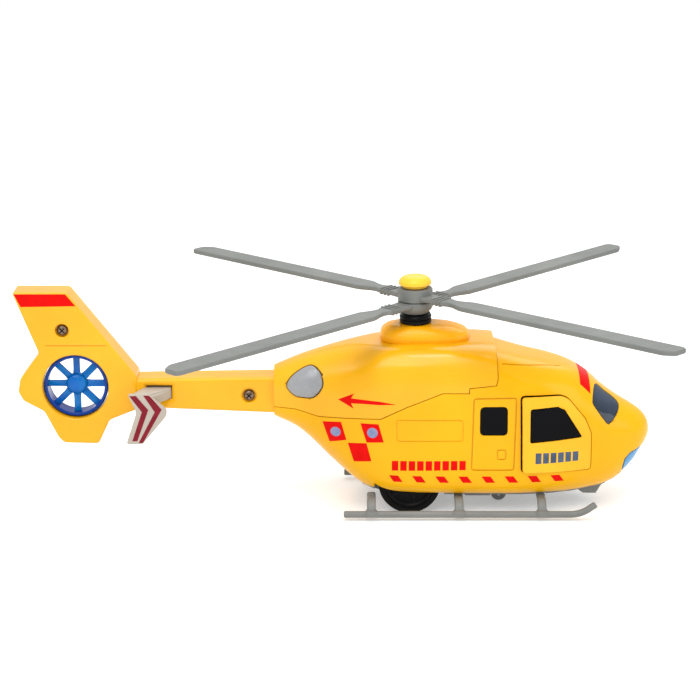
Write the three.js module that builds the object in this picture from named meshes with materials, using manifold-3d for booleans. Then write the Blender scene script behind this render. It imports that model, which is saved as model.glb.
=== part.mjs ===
// Toy rescue helicopter, push-along, with a sound button, opening front doors and free-turning rotors.
// Millimetres. +X is forward, +Y is the helicopter's left, +Z is up. z = 0 is the ground under the wheels.
import * as THREE from "three";
import { mergeVertices } from "three/addons/utils/BufferGeometryUtils.js";
import Module from "manifold-3d";

const wasm = await Module();
wasm.setup();

// Driving dimensions.
const gap = 0.3; // clearance kept between neighbouring mouldings
const wall = 1.8; // moulded wall thickness of the body
const rotorRadius = 146.4;
const rotorChord = 11;
const rotorThickness = 2.2;
const rotorYaw = 45.3; // the lower blade bar's heading at rest, degrees from +X
const mastTilt = 1.2; // the mast leans back, degrees
const mast = { x: 37, z: 84 }; // where the mast leaves the fairing
const tailHalf = 7.4; // half the thickness of the boom and fin
const fan = { x: -116.7, z: 55.7, hole: 14.9 };
const wheel = { x: 34.3, radius: 14, outer: 20.7 };
const frontWheel = { x: 75.8, radius: 3.5, half: 2.4 };
const skid = { y: 29.4, z: 2.9, radius: 1.55, rear: 4.6, bend: 111, tipX: 117.6, tipZ: 7.8 };
const strutStations = [17, 56.4, 93.6];
const doorAjar = 4; // the right-hand front door rests open by this many degrees
const doorHinge = { x: 114.6, y: 19.9 };
const battery = { x: 65.25, pitch: 11.9, radius: 5.8, height: 5.4 };
const seamHalf = 0.12; // half the gap between the two tail half shells
const hullSides = 24; // points round each hull section

// Hull stations: x, half width, height of the widest line, top, bottom, roundness above, roundness below.
const stations = [
  [-27, 9.5, 54, 64, 41, 2.6, 2.4],
  [-15, 14, 52.5, 69, 35, 2.5, 2.5],
  [0, 19.5, 48, 73.6, 21, 2.6, 2.7],
  [12, 22.8, 43, 76.1, 12, 3.2, 3.8],
  [22, 24.8, 39, 76.9, 8.6, 4.4, 4.8],
  [36, 26.4, 35.5, 77.4, 8.4, 5, 5],
  [55, 27, 34.5, 77.7, 8.4, 5, 5],
  [69.5, 26.9, 33.8, 76.9, 8.4, 5, 5],
  [74, 26.8, 33.6, 73.7, 8.4, 4.6, 5],
  [85, 26.4, 33.2, 70.7, 8.4, 4.2, 5],
  [98, 25, 33, 67.8, 8.6, 3.9, 4.8],
  [108, 22.9, 33, 64.9, 8.5, 3.2, 4],
  [116, 20.4, 33.2, 60.3, 8.8, 2.5, 3.3],
  [122, 18.6, 33.4, 55.1, 9.5, 2.2, 2.9],
  [129, 16, 33.7, 50, 12.4, 2.1, 2.6],
  [136, 12.2, 34, 45.8, 18.6, 2, 2.3],
  [140.5, 8.2, 34.2, 42.3, 25.6, 2, 2],
  [143, 4, 34.4, 38.8, 30.4, 2, 2],
  [143.8, 1.4, 34.4, 36, 32.8, 2, 2],
];

// Side-view outlines, [x, z].
const cowlingRegion = [
  [-40, 46.8], [-17, 47.2], [-7, 45], [21, 46], [32.8, 52], [48.5, 58.5],
  [60.3, 58.5], [60.5, 60.8], [72.3, 62], [73, 65.1], [71.7, 100], [-40, 100],
];
const finOutline = [
  [-143.7, 99.7], [-119.3, 99.7], [-88.6, 60.6], [-88.8, 45.4], [-101.6, 40.2], [-106.9, 29], [-122.4, 29.4],
  [-125, 31.8], [-131.2, 44.3], [-140.4, 49.3], [-142.6, 53.5], [-141.5, 59.5], [-132.6, 71.6],
];
const boomOutline = [[-95, 59.4], [-95, 46.2], [-22, 43.2], [-22, 60.5]];
const frontDoorOutline = [
  [83.4, 56.9], [101, 56.8], [104.6, 55], [112.6, 45.2], [115.5, 38.2], [115.7, 21.2], [84.1, 21.9],
];
const frontWindowOutline = [[87.6, 51], [99.6, 51.6], [102.6, 49.9], [111, 36.9], [87.8, 35.7]];
const rearWindowOutline = [
  [65.2, 51.4], [66.2, 52.4], [76.5, 52.4], [77.5, 51.4], [77.6, 40], [76.6, 39], [66.2, 39.1], [65.2, 40.1],
];
const windscreenOutline = [
  [117.8, 57.8], [116, 52.4], [116.6, 50], [122.9, 41.6], [124.2, 41.4], [127, 44],
  [129.2, 47.4], [128.4, 49.2], [122.4, 54.2],
];
const noseLensOutline = [
  [146, 29.4], [141.2, 28.6], [134.4, 26.6], [131.9, 24], [131.1, 20], [131, 8], [146, 8],
];
const buttonOutline = [
  [-10.6, 67], [-6.6, 65.4], [-5.2, 62.2], [-5.3, 58.6], [-8.9, 54],
  [-14.1, 53.4], [-17.8, 54.1], [-21, 57.9], [-17.6, 63],
];
const stabiliserPlate = [
  [-92.1, 55.7], [-83, 55.8], [-74.6, 48.6], [-75, 45.4], [-86, 32.2], [-93.2, 32.2], [-88.3, 47],
];

// Solids.
// A closed three.js geometry as a manifold-3d solid, turned the right way out.
function solid(geometry) {
  const bare = new THREE.BufferGeometry();
  bare.setAttribute("position", geometry.getAttribute("position"));
  bare.setIndex(geometry.index);
  const merged = mergeVertices(bare, 1e-3);
  const indices = [];
  for (let i = 0; i < merged.index.count; i += 3) {
    const [a, b, c] = [0, 1, 2].map((k) => merged.index.getX(i + k));
    if (a !== b && b !== c && a !== c) indices.push(a, b, c);
  }
  const vertProperties = merged.attributes.position.array;
  const build = (list) =>
    new wasm.Manifold(new wasm.Mesh({ numProp: 3, vertProperties, triVerts: new Uint32Array(list) }));
  const made = build(indices);
  return made.volume() < 0 ? build(indices.reverse()) : made;
}

const join = (...parts) => parts.reduce((whole, part) => whole.add(part));
const cut = (whole, ...tools) => tools.reduce((rest, tool) => rest.subtract(tool), whole);

function box(x0, x1, y0, y1, z0, z1) {
  const geometry = new THREE.BoxGeometry(x1 - x0, y1 - y0, z1 - z0);
  return solid(geometry.translate((x0 + x1) / 2, (y0 + y1) / 2, (z0 + z1) / 2));
}

// A cylinder or cone frustum along an axis, from one end to the other.
function rod(axis, at, from, to, radius, sides = 20, endRadius = radius) {
  const geometry = new THREE.CylinderGeometry(endRadius, radius, to - from, sides);
  geometry.translate(0, (from + to) / 2, 0);
  if (axis === "x") geometry.rotateZ(-Math.PI / 2);
  if (axis === "z") geometry.rotateX(Math.PI / 2);
  return solid(geometry.translate(...at));
}

// A profile of [radius, height] points turned about an axis through the point `at`.
function turned(axis, at, profile, sides = 32) {
  const points = profile.map(([r, h]) => new THREE.Vector2(r, h));
  const geometry = new THREE.LatheGeometry(points, sides);
  if (axis === "z") geometry.rotateX(Math.PI / 2);
  return solid(geometry.translate(...at));
}

function shapeOf(outline) {
  return new THREE.Shape(outline.map(([a, b]) => new THREE.Vector2(a, b)));
}

function extruded(outline, depth, bevel) {
  const geometry = new THREE.ExtrudeGeometry(shapeOf(outline), {
    depth: depth - 2 * bevel,
    bevelEnabled: bevel > 0,
    bevelThickness: bevel,
    bevelSize: bevel,
    bevelOffset: -bevel,
    bevelSegments: 1,
  });
  return geometry.translate(0, 0, bevel);
}

// A side-view outline carried across the body from y0 to y1.
function sidePrism(outline, y0, y1, bevel = 0) {
  const geometry = extruded(outline, y1 - y0, bevel);
  return solid(geometry.rotateX(Math.PI / 2).translate(0, y1, 0));
}

// A plan-view outline carried up from z0 to z1.
function planPrism(outline, z0, z1, bevel = 0) {
  return solid(extruded(outline, z1 - z0, bevel).translate(0, 0, z0));
}

// The outline moved outwards by a distance, or inwards where the distance is negative.
function grown(outline, distance) {
  const turn = Math.sign(THREE.ShapeUtils.area(shapeOf(outline).getPoints()));
  const count = outline.length;
  return outline.map((point, i) => {
    const before = outline[(i + count - 1) % count];
    const after = outline[(i + 1) % count];
    const normals = [[before, point], [point, after]].map(([a, b]) => {
      const length = Math.hypot(b[0] - a[0], b[1] - a[1]);
      return [(turn * (b[1] - a[1])) / length, (-turn * (b[0] - a[0])) / length];
    });
    const sum = [normals[0][0] + normals[1][0], normals[0][1] + normals[1][1]];
    const reach = (2 * distance) / (sum[0] ** 2 + sum[1] ** 2);
    return [point[0] + sum[0] * reach, point[1] + sum[1] * reach];
  });
}

// A smooth closed outline through the given points.
function rounded(outline, count) {
  const points = outline.map(([a, b]) => new THREE.Vector3(a, b, 0));
  const curve = new THREE.CatmullRomCurve3(points, true, "centripetal");
  return curve.getSpacedPoints(count).slice(0, count).map((p) => [p.x, p.y]);
}

function mirroredY(part) {
  return part.mirror([0, 1, 0]);
}

// The hull surface.
// The hull's section values at x, on a smooth curve through the stations.
function hullAt(x) {
  const last = stations.length - 1;
  const at = Math.min(Math.max(x, stations[0][0]), stations[last][0]);
  let i = stations.findIndex((s) => s[0] > at) - 1;
  if (i < 0) i = last - 1;
  const slope = (k) => {
    const [a, b] = [stations[Math.max(k - 1, 0)], stations[Math.min(k + 1, last)]];
    return stations[k].map((_, c) => (b[c] - a[c]) / (b[0] - a[0]));
  };
  const span = stations[i + 1][0] - stations[i][0];
  const t = (at - stations[i][0]) / span;
  const [s0, s1] = [slope(i), slope(i + 1)];
  return stations[i].map(
    (value, c) =>
      (2 * t ** 3 - 3 * t ** 2 + 1) * value +
      (t ** 3 - 2 * t ** 2 + t) * span * s0[c] +
      (3 * t ** 2 - 2 * t ** 3) * stations[i + 1][c] +
      (t ** 3 - t ** 2) * span * s1[c],
  );
}

// A closed body lofted through the hull's sections, grown outwards by a distance, between two x values.
function hullBody(grow, x0, x1) {
  const between = stations.map((station) => station[0]).filter((x) => x > x0 + 0.5 && x < x1 - 0.5);
  const rings = [x0, ...between, x1];
  const geometry = new THREE.CylinderGeometry(1, 1, 1, hullSides, rings.length - 1);
  const position = geometry.getAttribute("position");
  for (let i = 0; i < position.count; i++) {
    const [across, along, up] = [position.getX(i), position.getY(i) + 0.5, position.getZ(i)];
    const radius = Math.hypot(across, up);
    const ringX = rings[Math.round(along * (rings.length - 1))];
    const [, width, middle, top, bottom, above, below] = hullAt(ringX);
    const height = up >= 0 ? top - middle : middle - bottom;
    const power = 2 / (up >= 0 ? above : below);
    const place = (value, size) =>
      Math.sign(value) * Math.abs(value / (radius || 1)) ** power * (size + grow) * radius;
    position.setXYZ(i, ringX, place(across, width), middle + place(up, height));
  }
  return solid(geometry);
}

const hullEnds = [stations[0][0], stations[stations.length - 1][0]];
const hullOuter = hullBody(0, ...hullEnds);
const hullInner = hullBody(-wall, hullEnds[0] + wall, hullEnds[1] - 4);
const hullShell = cut(hullOuter, hullInner);

// The layer of the hull between two depths below its surface; a negative depth stands proud.
function hullLayer(shallow, deep) {
  return cut(hullBody(-shallow, ...hullEnds), hullBody(-deep, hullEnds[0] + 1, hullEnds[1] - 2));
}

// Materials.
const finish = (values) => new THREE.MeshStandardMaterial(values);
const plastic = (color, roughness = 0.4) => finish({ color, roughness, metalness: 0 });
const clear = (color, roughness, opacity) => finish({ color, roughness, transparent: true, opacity });
const metal = (color, roughness = 0.35) => finish({ color, roughness, metalness: 1 });
const hullYellow = plastic(0xffcb05, 0.3);
const cowlingYellow = plastic(0xfdc52f, 0.3);
const fairingYellow = plastic(0xfbb414, 0.3);
const capYellow = plastic(0xf6d838, 0.35);
const rotorGrey = plastic(0xa4a6a4, 0.45);
const skidGrey = plastic(0x868783, 0.45);
const buttonGrey = plastic(0x9a9c9e, 0.3);
const finGrey = plastic(0xb5aca0, 0.45);
const darkPlastic = plastic(0x2a2b2e, 0.55);
const blackPlastic = plastic(0x151515, 0.45);
const tyreBlack = plastic(0x101010, 0.8);
const fanBlue = clear(0x1173d4, 0.12, 0.75);
const lensBlue = clear(0x58a8dc, 0.1, 0.7);
const tintedGlazing = plastic(0x14161c, 0.08);
const steel = metal(0xb4b6b8);
const brass = metal(0xc8a450);
const boardGreen = plastic(0x1f6b3a, 0.5);
const cellSteel = metal(0xc6c8ca, 0.25);
const ledWhite = plastic(0xe8eef4, 0.15);

const helicopter = new THREE.Group();

function addPiece(name, body, material, parent = helicopter) {
  const { vertProperties, triVerts, numProp } = body.getMesh();
  const position = new Float32Array((vertProperties.length / numProp) * 3);
  for (let i = 0; i < position.length; i++) {
    position[i] = vertProperties[Math.floor(i / 3) * numProp + (i % 3)];
  }
  const geometry = new THREE.BufferGeometry();
  geometry.setAttribute("position", new THREE.BufferAttribute(position, 3));
  geometry.setIndex(new THREE.BufferAttribute(triVerts, 1));
  geometry.computeVertexNormals();
  const piece = new THREE.Mesh(geometry, material);
  piece.name = name;
  parent.add(piece);
}

const sides = [
  { name: "right", sign: -1 },
  { name: "left", sign: 1 },
];
const onSide = (body, sign) => (sign < 0 ? body : mirroredY(body)); // bodies are drawn on the right, at -Y

// Cabin shell: lower hull, roof front and nose.
const beltCut = (outline, y1 = -4) => sidePrism(outline, -40, y1);
const doorOpening = beltCut(grown(frontDoorOutline, gap));
const plateOutline = [
  [13, -13], [18.4, -19.4], [96, -19.4], [104, -16], [124, -8.8],
  [124, 8.8], [104, 16], [96, 19.4], [18.4, 19.4], [13, 13],
];
const bellyOpening = join(planPrism(grown(plateOutline, gap), 0, 22), box(18.4, 50.2, -21.6, 21.6, 0, 17));
const buttonCurve = rounded(buttonOutline, 26);
const hingeSockets = rod("z", [doorHinge.x, -doorHinge.y, 0], 18, 42, 0.85, 10);

function cabinShell() {
  const openings = [doorOpening, beltCut(rearWindowOutline), beltCut(windscreenOutline), hingeSockets];
  const shell = cut(hullShell, sidePrism(grown(cowlingRegion, gap / 2), -40, 40), bellyOpening);
  const opened = openings.reduce((rest, tool) => cut(rest, tool, mirroredY(tool)), shell);
  return cut(opened, sidePrism(noseLensOutline, -40, 40));
}
addPiece("cabin_shell", cabinShell(), hullYellow);

const noseLens = hullShell.intersect(sidePrism(grown(noseLensOutline, -gap), -40, 40));
addPiece("nose_lens", noseLens, lensBlue);

// Windows.
const glazingLayer = hullLayer(0.5, 1.5);
for (const { name, sign } of sides) {
  const pane = (outline) => glazingLayer.intersect(beltCut(grown(outline, -gap)));
  addPiece("windscreen_" + name, onSide(pane(windscreenOutline), sign), tintedGlazing);
  addPiece("rear_window_" + name, onSide(pane(rearWindowOutline), sign), tintedGlazing);
}

// Cowling, boom and fin: two half shells.
const finScrew = { x: -121.9, z: 82.1 };
const boomScrew = { x: -38.3, z: 51.6 };
const bossAt = ({ x, z }, radius, y0, y1) => rod("y", [x, 0, z], y0, y1, radius, 20);

function tailShells() {
  const region = sidePrism(grown(cowlingRegion, -gap / 2), -40, 40);
  const boomBar = sidePrism(boomOutline, -tailHalf, tailHalf, 2);
  const outer = join(
    hullOuter.intersect(region),
    cut(boomBar, cut(hullBody(gap, hullEnds[0] - gap, hullEnds[1]), region)),
    sidePrism(finOutline, -tailHalf, tailHalf, 0.8),
  );
  const hollowFin = cut(
    sidePrism(grown(finOutline, -wall), wall - tailHalf, tailHalf - wall),
    bossAt(fan, fan.hole + 2.8, -20, 20),
    bossAt(finScrew, 3.6, -20, 20),
  );
  const hollowBoom = cut(
    sidePrism([[-96, 57.6], [-96, 48], [-20, 45], [-20, 58.7]], wall - tailHalf, tailHalf - wall),
    bossAt(fan, fan.hole + 2.8, -20, 20),
    bossAt(boomScrew, 3.6, -20, 20),
  );
  const hollowCowling = hullInner.intersect(sidePrism(grown(cowlingRegion, 2), -40, 40));
  const screwHoles = [finScrew, boomScrew].flatMap((screw) => [
    bossAt(screw, 3.0, -20, -tailHalf + 2.2),
    bossAt(screw, 1.5, -20, 4),
  ]);
  return cut(
    outer,
    hollowCowling,
    hollowBoom,
    hollowFin,
    bossAt(fan, fan.hole, -20, 20),
    bossAt(fan, fan.hole + 1.5, -1.3, 1.3),
    ...screwHoles,
    box(-86.3, -72.7, -20, 20, 53.3, 55.8),
    box(-77.2, -72.7, -20, 20, 50.2, 55.8),
    rod("z", [mast.x, 0, 0], 60, 100, 2.1, 16),
    sidePrism(grown(buttonCurve, gap), -40, -6),
    mirroredY(sidePrism(grown(buttonCurve, gap), -40, -6)),
  );
}
const tail = tailShells();
const rightTail = tail.intersect(box(-200, 200, -60, -seamHalf, 0, 200));
const leftTail = tail.intersect(box(-200, 200, seamHalf, 60, 0, 200));
addPiece("cowling_right", rightTail, cowlingYellow);
addPiece("cowling_left", leftTail, cowlingYellow);

function panHeadScrew({ x, z }) {
  const y = -tailHalf + 2.2;
  const slot = (turn) => box(-2, 2, -0.35, 0.35, -1, 0.9).rotate([90, 0, 0]).rotate([0, turn, 0]);
  const head = rod("y", [x, 0, z], y - 1.5, y - gap, 2.5, 20);
  const shank = rod("y", [x, 0, z], y - gap - 0.1, 3.6, 1.1, 12);
  const cross = [45, 135].map((turn) => slot(turn).translate([x, y - 1.8, z]));
  return cut(join(head, shank), ...cross);
}
addPiece("fin_screw", panHeadScrew(finScrew), steel);
addPiece("boom_screw", panHeadScrew(boomScrew), steel);

// Mast fairing.
// Levels of the fairing: z, rear x, front x, half width.
const fairingLevels = [
  [70, 22.4, 60, 11.4],
  [77.4, 21.6, 60.8, 11.8],
  [79.2, 20.9, 61.3, 12],
  [80.6, 21.2, 60.8, 11.7],
  [82.2, 22.4, 58.2, 10.7],
  [83.5, 24.2, 53.8, 9],
  [84.3, 26.8, 49, 6.4],
];

function fairingBody(inset, top) {
  const levels = fairingLevels.slice(0, top);
  const geometry = new THREE.CylinderGeometry(1, 1, 1, 24, levels.length - 1);
  const position = geometry.getAttribute("position");
  for (let i = 0; i < position.count; i++) {
    const [cosine, sine] = [position.getX(i), position.getZ(i)];
    const [z, rear, front, half] = levels[Math.round((position.getY(i) + 0.5) * (levels.length - 1))];
    const squarer = (value) => Math.sign(value) * Math.abs(value) ** 0.62;
    const x = (rear + front) / 2 + squarer(cosine) * ((front - rear) / 2 - inset);
    position.setXYZ(i, x, squarer(sine) * (half - inset), z);
  }
  return solid(geometry);
}
const fairing = cut(
  fairingBody(0, 7),
  fairingBody(wall, 5),
  hullBody(gap, ...hullEnds),
  rod("z", [mast.x, 0, 0], 60, 100, 2.1, 16),
);
addPiece("mast_fairing", fairing, fairingYellow);

// Base plate and what is screwed to it.
const plateTop = 10.9;
const coverScrewX = 56.7;
const plateProud = 0.6; // how far the plate stands out from the hull's underside
const plateFace = 7.8; // the flat middle of the plate's underside
const speakerAt = [94, 0, 11.7];
const rightWheelWell = box(18.6, 50, -30, -12.4, 0, 22);

function basePlate() {
  const skin = hullLayer(-plateProud, 2.5).intersect(planPrism(plateOutline, 0, 22));
  const middle = box(20, 112.6, -9, 9, plateFace, plateTop);
  const podSide = [
    [110, 8.6], [111.8, 6.9], [114.2, 5.3], [119.9, 5.2], [122.7, 9.9], [123, 12], [110, 12],
  ];
  const plate = join(skin, middle);
  const pod = sidePrism(podSide, -7.6, 7.6, 0.6);
  const ears = [-4.1, 2.9].map((y) => {
    const ear = rod("y", [frontWheel.x, 0, frontWheel.radius], y, y + 1.2, 2.7, 16);
    return join(ear, box(frontWheel.x - 2.7, frontWheel.x + 2.7, y, y + 1.2, frontWheel.radius, 8.6));
  });
  const posts = [-1, 1].map((sign) => {
    const post = box(31.3, 37.3, sign * 11.2 - 0.9, sign * 11.2 + 0.9, plateTop - 0.2, 18);
    return cut(post, rod("y", [wheel.x, 0, wheel.radius], -13, 13, 1.95, 16));
  });
  const cellWalls = [57.8, 71.3].map((x) => box(x, x + 1.4, -18.2, 18.2, plateTop - 0.2, 17));
  const soundHole = (x, y) => rod("z", [speakerAt[0] + x, y, 0], 8, 12, 0.9, 8);
  const soundHoles = [0, 60, 120, 180, 240, 300].map((degrees) => {
    const angle = THREE.MathUtils.degToRad(degrees);
    return soundHole(4.5 * Math.cos(angle), 4.5 * Math.sin(angle));
  });
  const strutSlots = strutStations.map((x) => box(x - 2.3, x + 2.3, -21.5, -16.5, 6, 9.7));
  return cut(
    join(plate, pod, ...ears, ...posts, ...cellWalls),
    rightWheelWell,
    mirroredY(rightWheelWell),
    box(28.2, 45, -8.7, 9.1, 0, 12),
    box(59.2, 71.3, -18, 18, 7, 13),
    box(54.2, 59.4, -3.4, 3.4, 7, 10.5),
    rod("z", [coverScrewX, 0, 0], 7, 13, 1.4, 12),
    soundHole(0, 0),
    ...soundHoles,
    rod("y", [frontWheel.x, 0, frontWheel.radius], -5, 5, 0.95, 12),
    ...strutSlots,
    ...strutSlots.map(mirroredY),
  );
}
addPiece("base_plate", basePlate(), skidGrey);

const batteryCover = cut(
  join(box(59.5, 71, -17.7, 17.7, plateFace, 10.2), box(54.5, 59.6, -3.1, 3.1, plateFace, 10.2)),
  rod("z", [coverScrewX, 0, 0], 7, 12, 1.2, 12),
  rod("z", [coverScrewX, 0, 0], 7, 9.2, 1.9, 12),
);
addPiece("battery_cover", batteryCover, skidGrey);
const coverScrewAt = [coverScrewX, 0, 0];
const coverScrew = join(
  rod("z", coverScrewAt, 8, 8.9, 1.6, 16),
  rod("z", coverScrewAt, 8.8, 12.4, 0.95, 10),
);
addPiece("battery_cover_screw", coverScrew, steel);
const cellProfile = [
  [0, 0], [4.6, 0], [battery.radius, 0.6], [battery.radius, battery.height], [0, battery.height],
];
[-1, 0, 1].forEach((place, i) => {
  const at = [battery.x, place * battery.pitch, 10.5];
  addPiece("battery_cell_" + (i + 1), turned("z", at, cellProfile, 20), cellSteel);
});

function skidTube(sign) {
  const y = sign * skid.y;
  const curve = new THREE.CurvePath();
  const corner = new THREE.Vector3(skid.bend + 1, y, skid.z);
  const tip = new THREE.Vector3(skid.tipX, y, skid.tipZ);
  const bendStart = new THREE.Vector3(skid.bend - 3, y, skid.z);
  const bendEnd = corner.clone().lerp(tip, 0.35);
  curve.add(new THREE.LineCurve3(new THREE.Vector3(skid.rear, y, skid.z), bendStart));
  curve.add(new THREE.QuadraticBezierCurve3(bendStart, corner, bendEnd));
  curve.add(new THREE.LineCurve3(bendEnd, tip));
  const circle = new THREE.Shape().absarc(0, 0, skid.radius, 0, 2 * Math.PI);
  const geometry = new THREE.ExtrudeGeometry(circle, { steps: 14, extrudePath: curve, curveSegments: 5 });
  return solid(geometry);
}

// A strut seen from the front: a bent bar from a tab under the plate out and down to the skid.
function skidStrut(x, sign) {
  const outline = [
    [16.8, 9.4], [16.8, 7.1], [23.6, 6.9], [26.9, 5], [28.3, 2.6], [30.2, 2.6],
    [30.2, 4.6], [28.6, 7.2], [25.4, 9.1], [20, 8.9], [19.2, 9.4],
  ];
  const geometry = extruded(outline, 4, 0.5);
  const body = solid(geometry.rotateX(Math.PI / 2).rotateZ(Math.PI / 2).translate(x - 2, 0, 0));
  return sign > 0 ? body : mirroredY(body);
}
for (const { name, sign } of sides) {
  const struts = strutStations.map((x) => skidStrut(x, sign));
  addPiece("skid_" + name, join(skidTube(sign), ...struts), skidGrey);
}

// Running gear.
const axle = join(
  rod("y", [wheel.x, 0, wheel.radius], -20.2, 20.2, 1.5, 16),
  rod("y", [wheel.x, 0, wheel.radius], -9.9, -8.7, 2.6, 16),
);

function spurGear(teeth, module, y0, y1, at, phase, bore) {
  const pitch = (teeth * module) / 2;
  const root = pitch - 1.15 * module;
  const tip = pitch + 0.9 * module;
  const outline = [];
  for (let i = 0; i < teeth; i++) {
    const centre = phase + (i * 2 * Math.PI) / teeth;
    const step = (2 * Math.PI) / teeth;
    for (const [share, radius] of [[-0.3, root], [-0.13, tip], [0.13, tip], [0.3, root]]) {
      outline.push([radius * Math.cos(centre + share * step), radius * Math.sin(centre + share * step)]);
    }
  }
  const body = sidePrism(outline, y0, y1).translate([at.x, 0, at.z]);
  return bore ? cut(body, rod("y", [at.x, 0, at.z], -30, 30, bore, 16)) : body;
}
const gearModule = 0.5;
const gearTeeth = 20;
const pinionTeeth = 8;
const gearReach = ((gearTeeth + pinionTeeth) * gearModule) / 2 + 0.1;
const gearLine = THREE.MathUtils.degToRad(50);
const axleAt = { x: wheel.x, z: wheel.radius };
const flywheelAt = {
  x: axleAt.x + gearReach * Math.cos(gearLine),
  z: axleAt.z + gearReach * Math.sin(gearLine),
};
addPiece("rear_axle", axle, steel);
addPiece("axle_gear", spurGear(gearTeeth, gearModule, 1, 4.5, axleAt, gearLine, 1.8), blackPlastic);
const pinionPhase = gearLine + Math.PI + Math.PI / pinionTeeth;
const flywheel = join(
  spurGear(pinionTeeth, gearModule, 0.6, 5, flywheelAt, pinionPhase, 0),
  rod("y", [flywheelAt.x, 0, flywheelAt.z], -6.6, 0.3, 5.2, 24),
  rod("y", [flywheelAt.x, 0, flywheelAt.z], -8.4, 8.8, 0.7, 10),
);
addPiece("flywheel", flywheel, brass);
const motorCase = cut(
  box(27.2, 45.8, -8.5, 8.9, 11.7, 26.3),
  box(28.4, 44.6, -7.1, 7.5, 5, 25.1),
  rod("y", [axleAt.x, 0, axleAt.z], -30, 30, 1.85, 16),
  box(axleAt.x - 1.85, axleAt.x + 1.85, -30, 30, 5, axleAt.z),
  rod("y", [flywheelAt.x, 0, flywheelAt.z], -30, 30, 1, 12),
);
addPiece("friction_motor_case", motorCase, darkPlastic);

const hubProfile = [
  [1.8, 0.2], [3.2, 0.2], [3.6, 1.4], [9.2, 1.4], [9.8, 0.4], [10.9, 0.4],
  [10.9, 7.1], [9.6, 7.1], [9.4, 5], [3.2, 5], [3.2, 6.4], [1.8, 6.4], [1.8, 0.2],
];
const tyreProfile = [
  [11.2, 0.2], [13, 0.2], [wheel.radius, 1.2], [wheel.radius, 6.2], [13, 7.2], [11.2, 7.2], [11.2, 0.2],
];
for (const { name, sign } of sides) {
  const at = [wheel.x, -wheel.outer, wheel.radius];
  addPiece("rear_wheel_" + name, onSide(turned("y", at, hubProfile, 20), sign), blackPlastic);
  addPiece("rear_tyre_" + name, onSide(turned("y", at, tyreProfile, 28), sign), tyreBlack);
}
const rollerBore = 0.95;
const rollerProfile = [
  [rollerBore, -frontWheel.half], [3.2, -frontWheel.half], [frontWheel.radius, -2], [frontWheel.radius, 2],
  [3.2, frontWheel.half], [rollerBore, frontWheel.half], [rollerBore, -frontWheel.half],
];
const rollerAt = [frontWheel.x, 0, frontWheel.radius];
addPiece("front_wheel", turned("y", rollerAt, rollerProfile, 24), skidGrey);
addPiece("front_axle", rod("y", rollerAt, -4.7, 4.7, 0.65, 10), steel);

// Main rotor, drawn upright about the mast and tilted as a group.
const rotor = new THREE.Group();
rotor.position.set(mast.x, 0, mast.z);
rotor.rotation.y = THREE.MathUtils.degToRad(-mastTilt);
helicopter.add(rotor);

// One bar with a blade at each end: half of the plan outline, turned by 180 degrees for the other half.
function bladeBar(bladeZ, hub) {
  const edge = rotorChord / 2;
  const half = [
    [7, -4.6], [12.4, -3.9], [19.6, -3.9], [22, -2.9], [25, -3.2], [31, -edge], [rotorRadius - 5, -edge],
    [rotorRadius, -edge + 3.2], [rotorRadius, edge - 1.4], [rotorRadius - 2, edge],
    [31, edge], [25, 3.2], [22, 2.9], [19.6, 3.9], [12.4, 3.9], [7, 4.6],
  ];
  const outline = [...half, ...half.map(([x, y]) => [-x, -y])];
  const bar = planPrism(outline, bladeZ - rotorThickness / 2, bladeZ + rotorThickness / 2, 0.35);
  const ribs = [-1, 1].flatMap((side) =>
    [13.6, 15.8, 18].map((x) => box(side * x - 0.5, side * x + 0.5, -3.9, 3.9, bladeZ - 1.6, bladeZ + 1.6)),
  );
  return cut(join(bar, turned("z", [0, 0, 0], hub, 16), ...ribs), rod("z", [0, 0, 0], -10, 40, 1.8, 16));
}
const lowerHub = [[0, 4.9], [5.4, 4.9], [7.6, 7], [7.9, 8], [7.9, 10.5], [0, 10.5]];
const upperHub = [[0, 10.8], [7.9, 10.8], [7.9, 16.1], [7.2, 16.5], [0, 16.5]];
const bars = [
  { name: "rotor_bar_lower", z: 9.2, hub: lowerHub, yaw: rotorYaw },
  { name: "rotor_bar_upper", z: 12.6, hub: upperHub, yaw: rotorYaw - 90 },
];
for (const { name, z, hub, yaw } of bars) {
  addPiece(name, bladeBar(z, hub).rotate([0, 0, yaw]), rotorGrey, rotor);
}
const collar = cut(
  turned("z", [0, 0, 0], [[0, 0.6], [7.2, 0.6], [7.2, 3.8], [6.8, 4.6], [0, 4.6]], 20),
  rod("z", [0, 0, 0], -10, 40, 1.8, 16),
);
addPiece("rotor_collar", collar, blackPlastic, rotor);
const capProfile = [
  [0, 16.8], [5.6, 16.8], [5.6, 18], [7.3, 18.2], [7.35, 19.6], [6.4, 21.2], [4.4, 22], [0, 22],
];
const capSolid = cut(turned("z", [0, 0, 0], capProfile, 20), rod("z", [0, 0, 0], 10, 20.4, 2.9, 16));
addPiece("rotor_cap", capSolid, capYellow, rotor);
addPiece("rotor_shaft", rod("z", [0, 0, 0], -12, 16.6, 1.5, 16), steel, rotor);
const rotorScrew = join(rod("z", [0, 0, 0], 16.9, 18.1, 2.5, 16), rod("z", [0, 0, 0], 18, 18.6, 1.6, 16));
addPiece("rotor_screw", rotorScrew, steel, rotor);
const shaftClip = cut(rod("z", [0, 0, 0], -10.2, -9.3, 4, 16), rod("z", [0, 0, 0], -20, 0, 1.8, 12));
addPiece("shaft_clip", shaftClip, steel, rotor);

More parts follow.
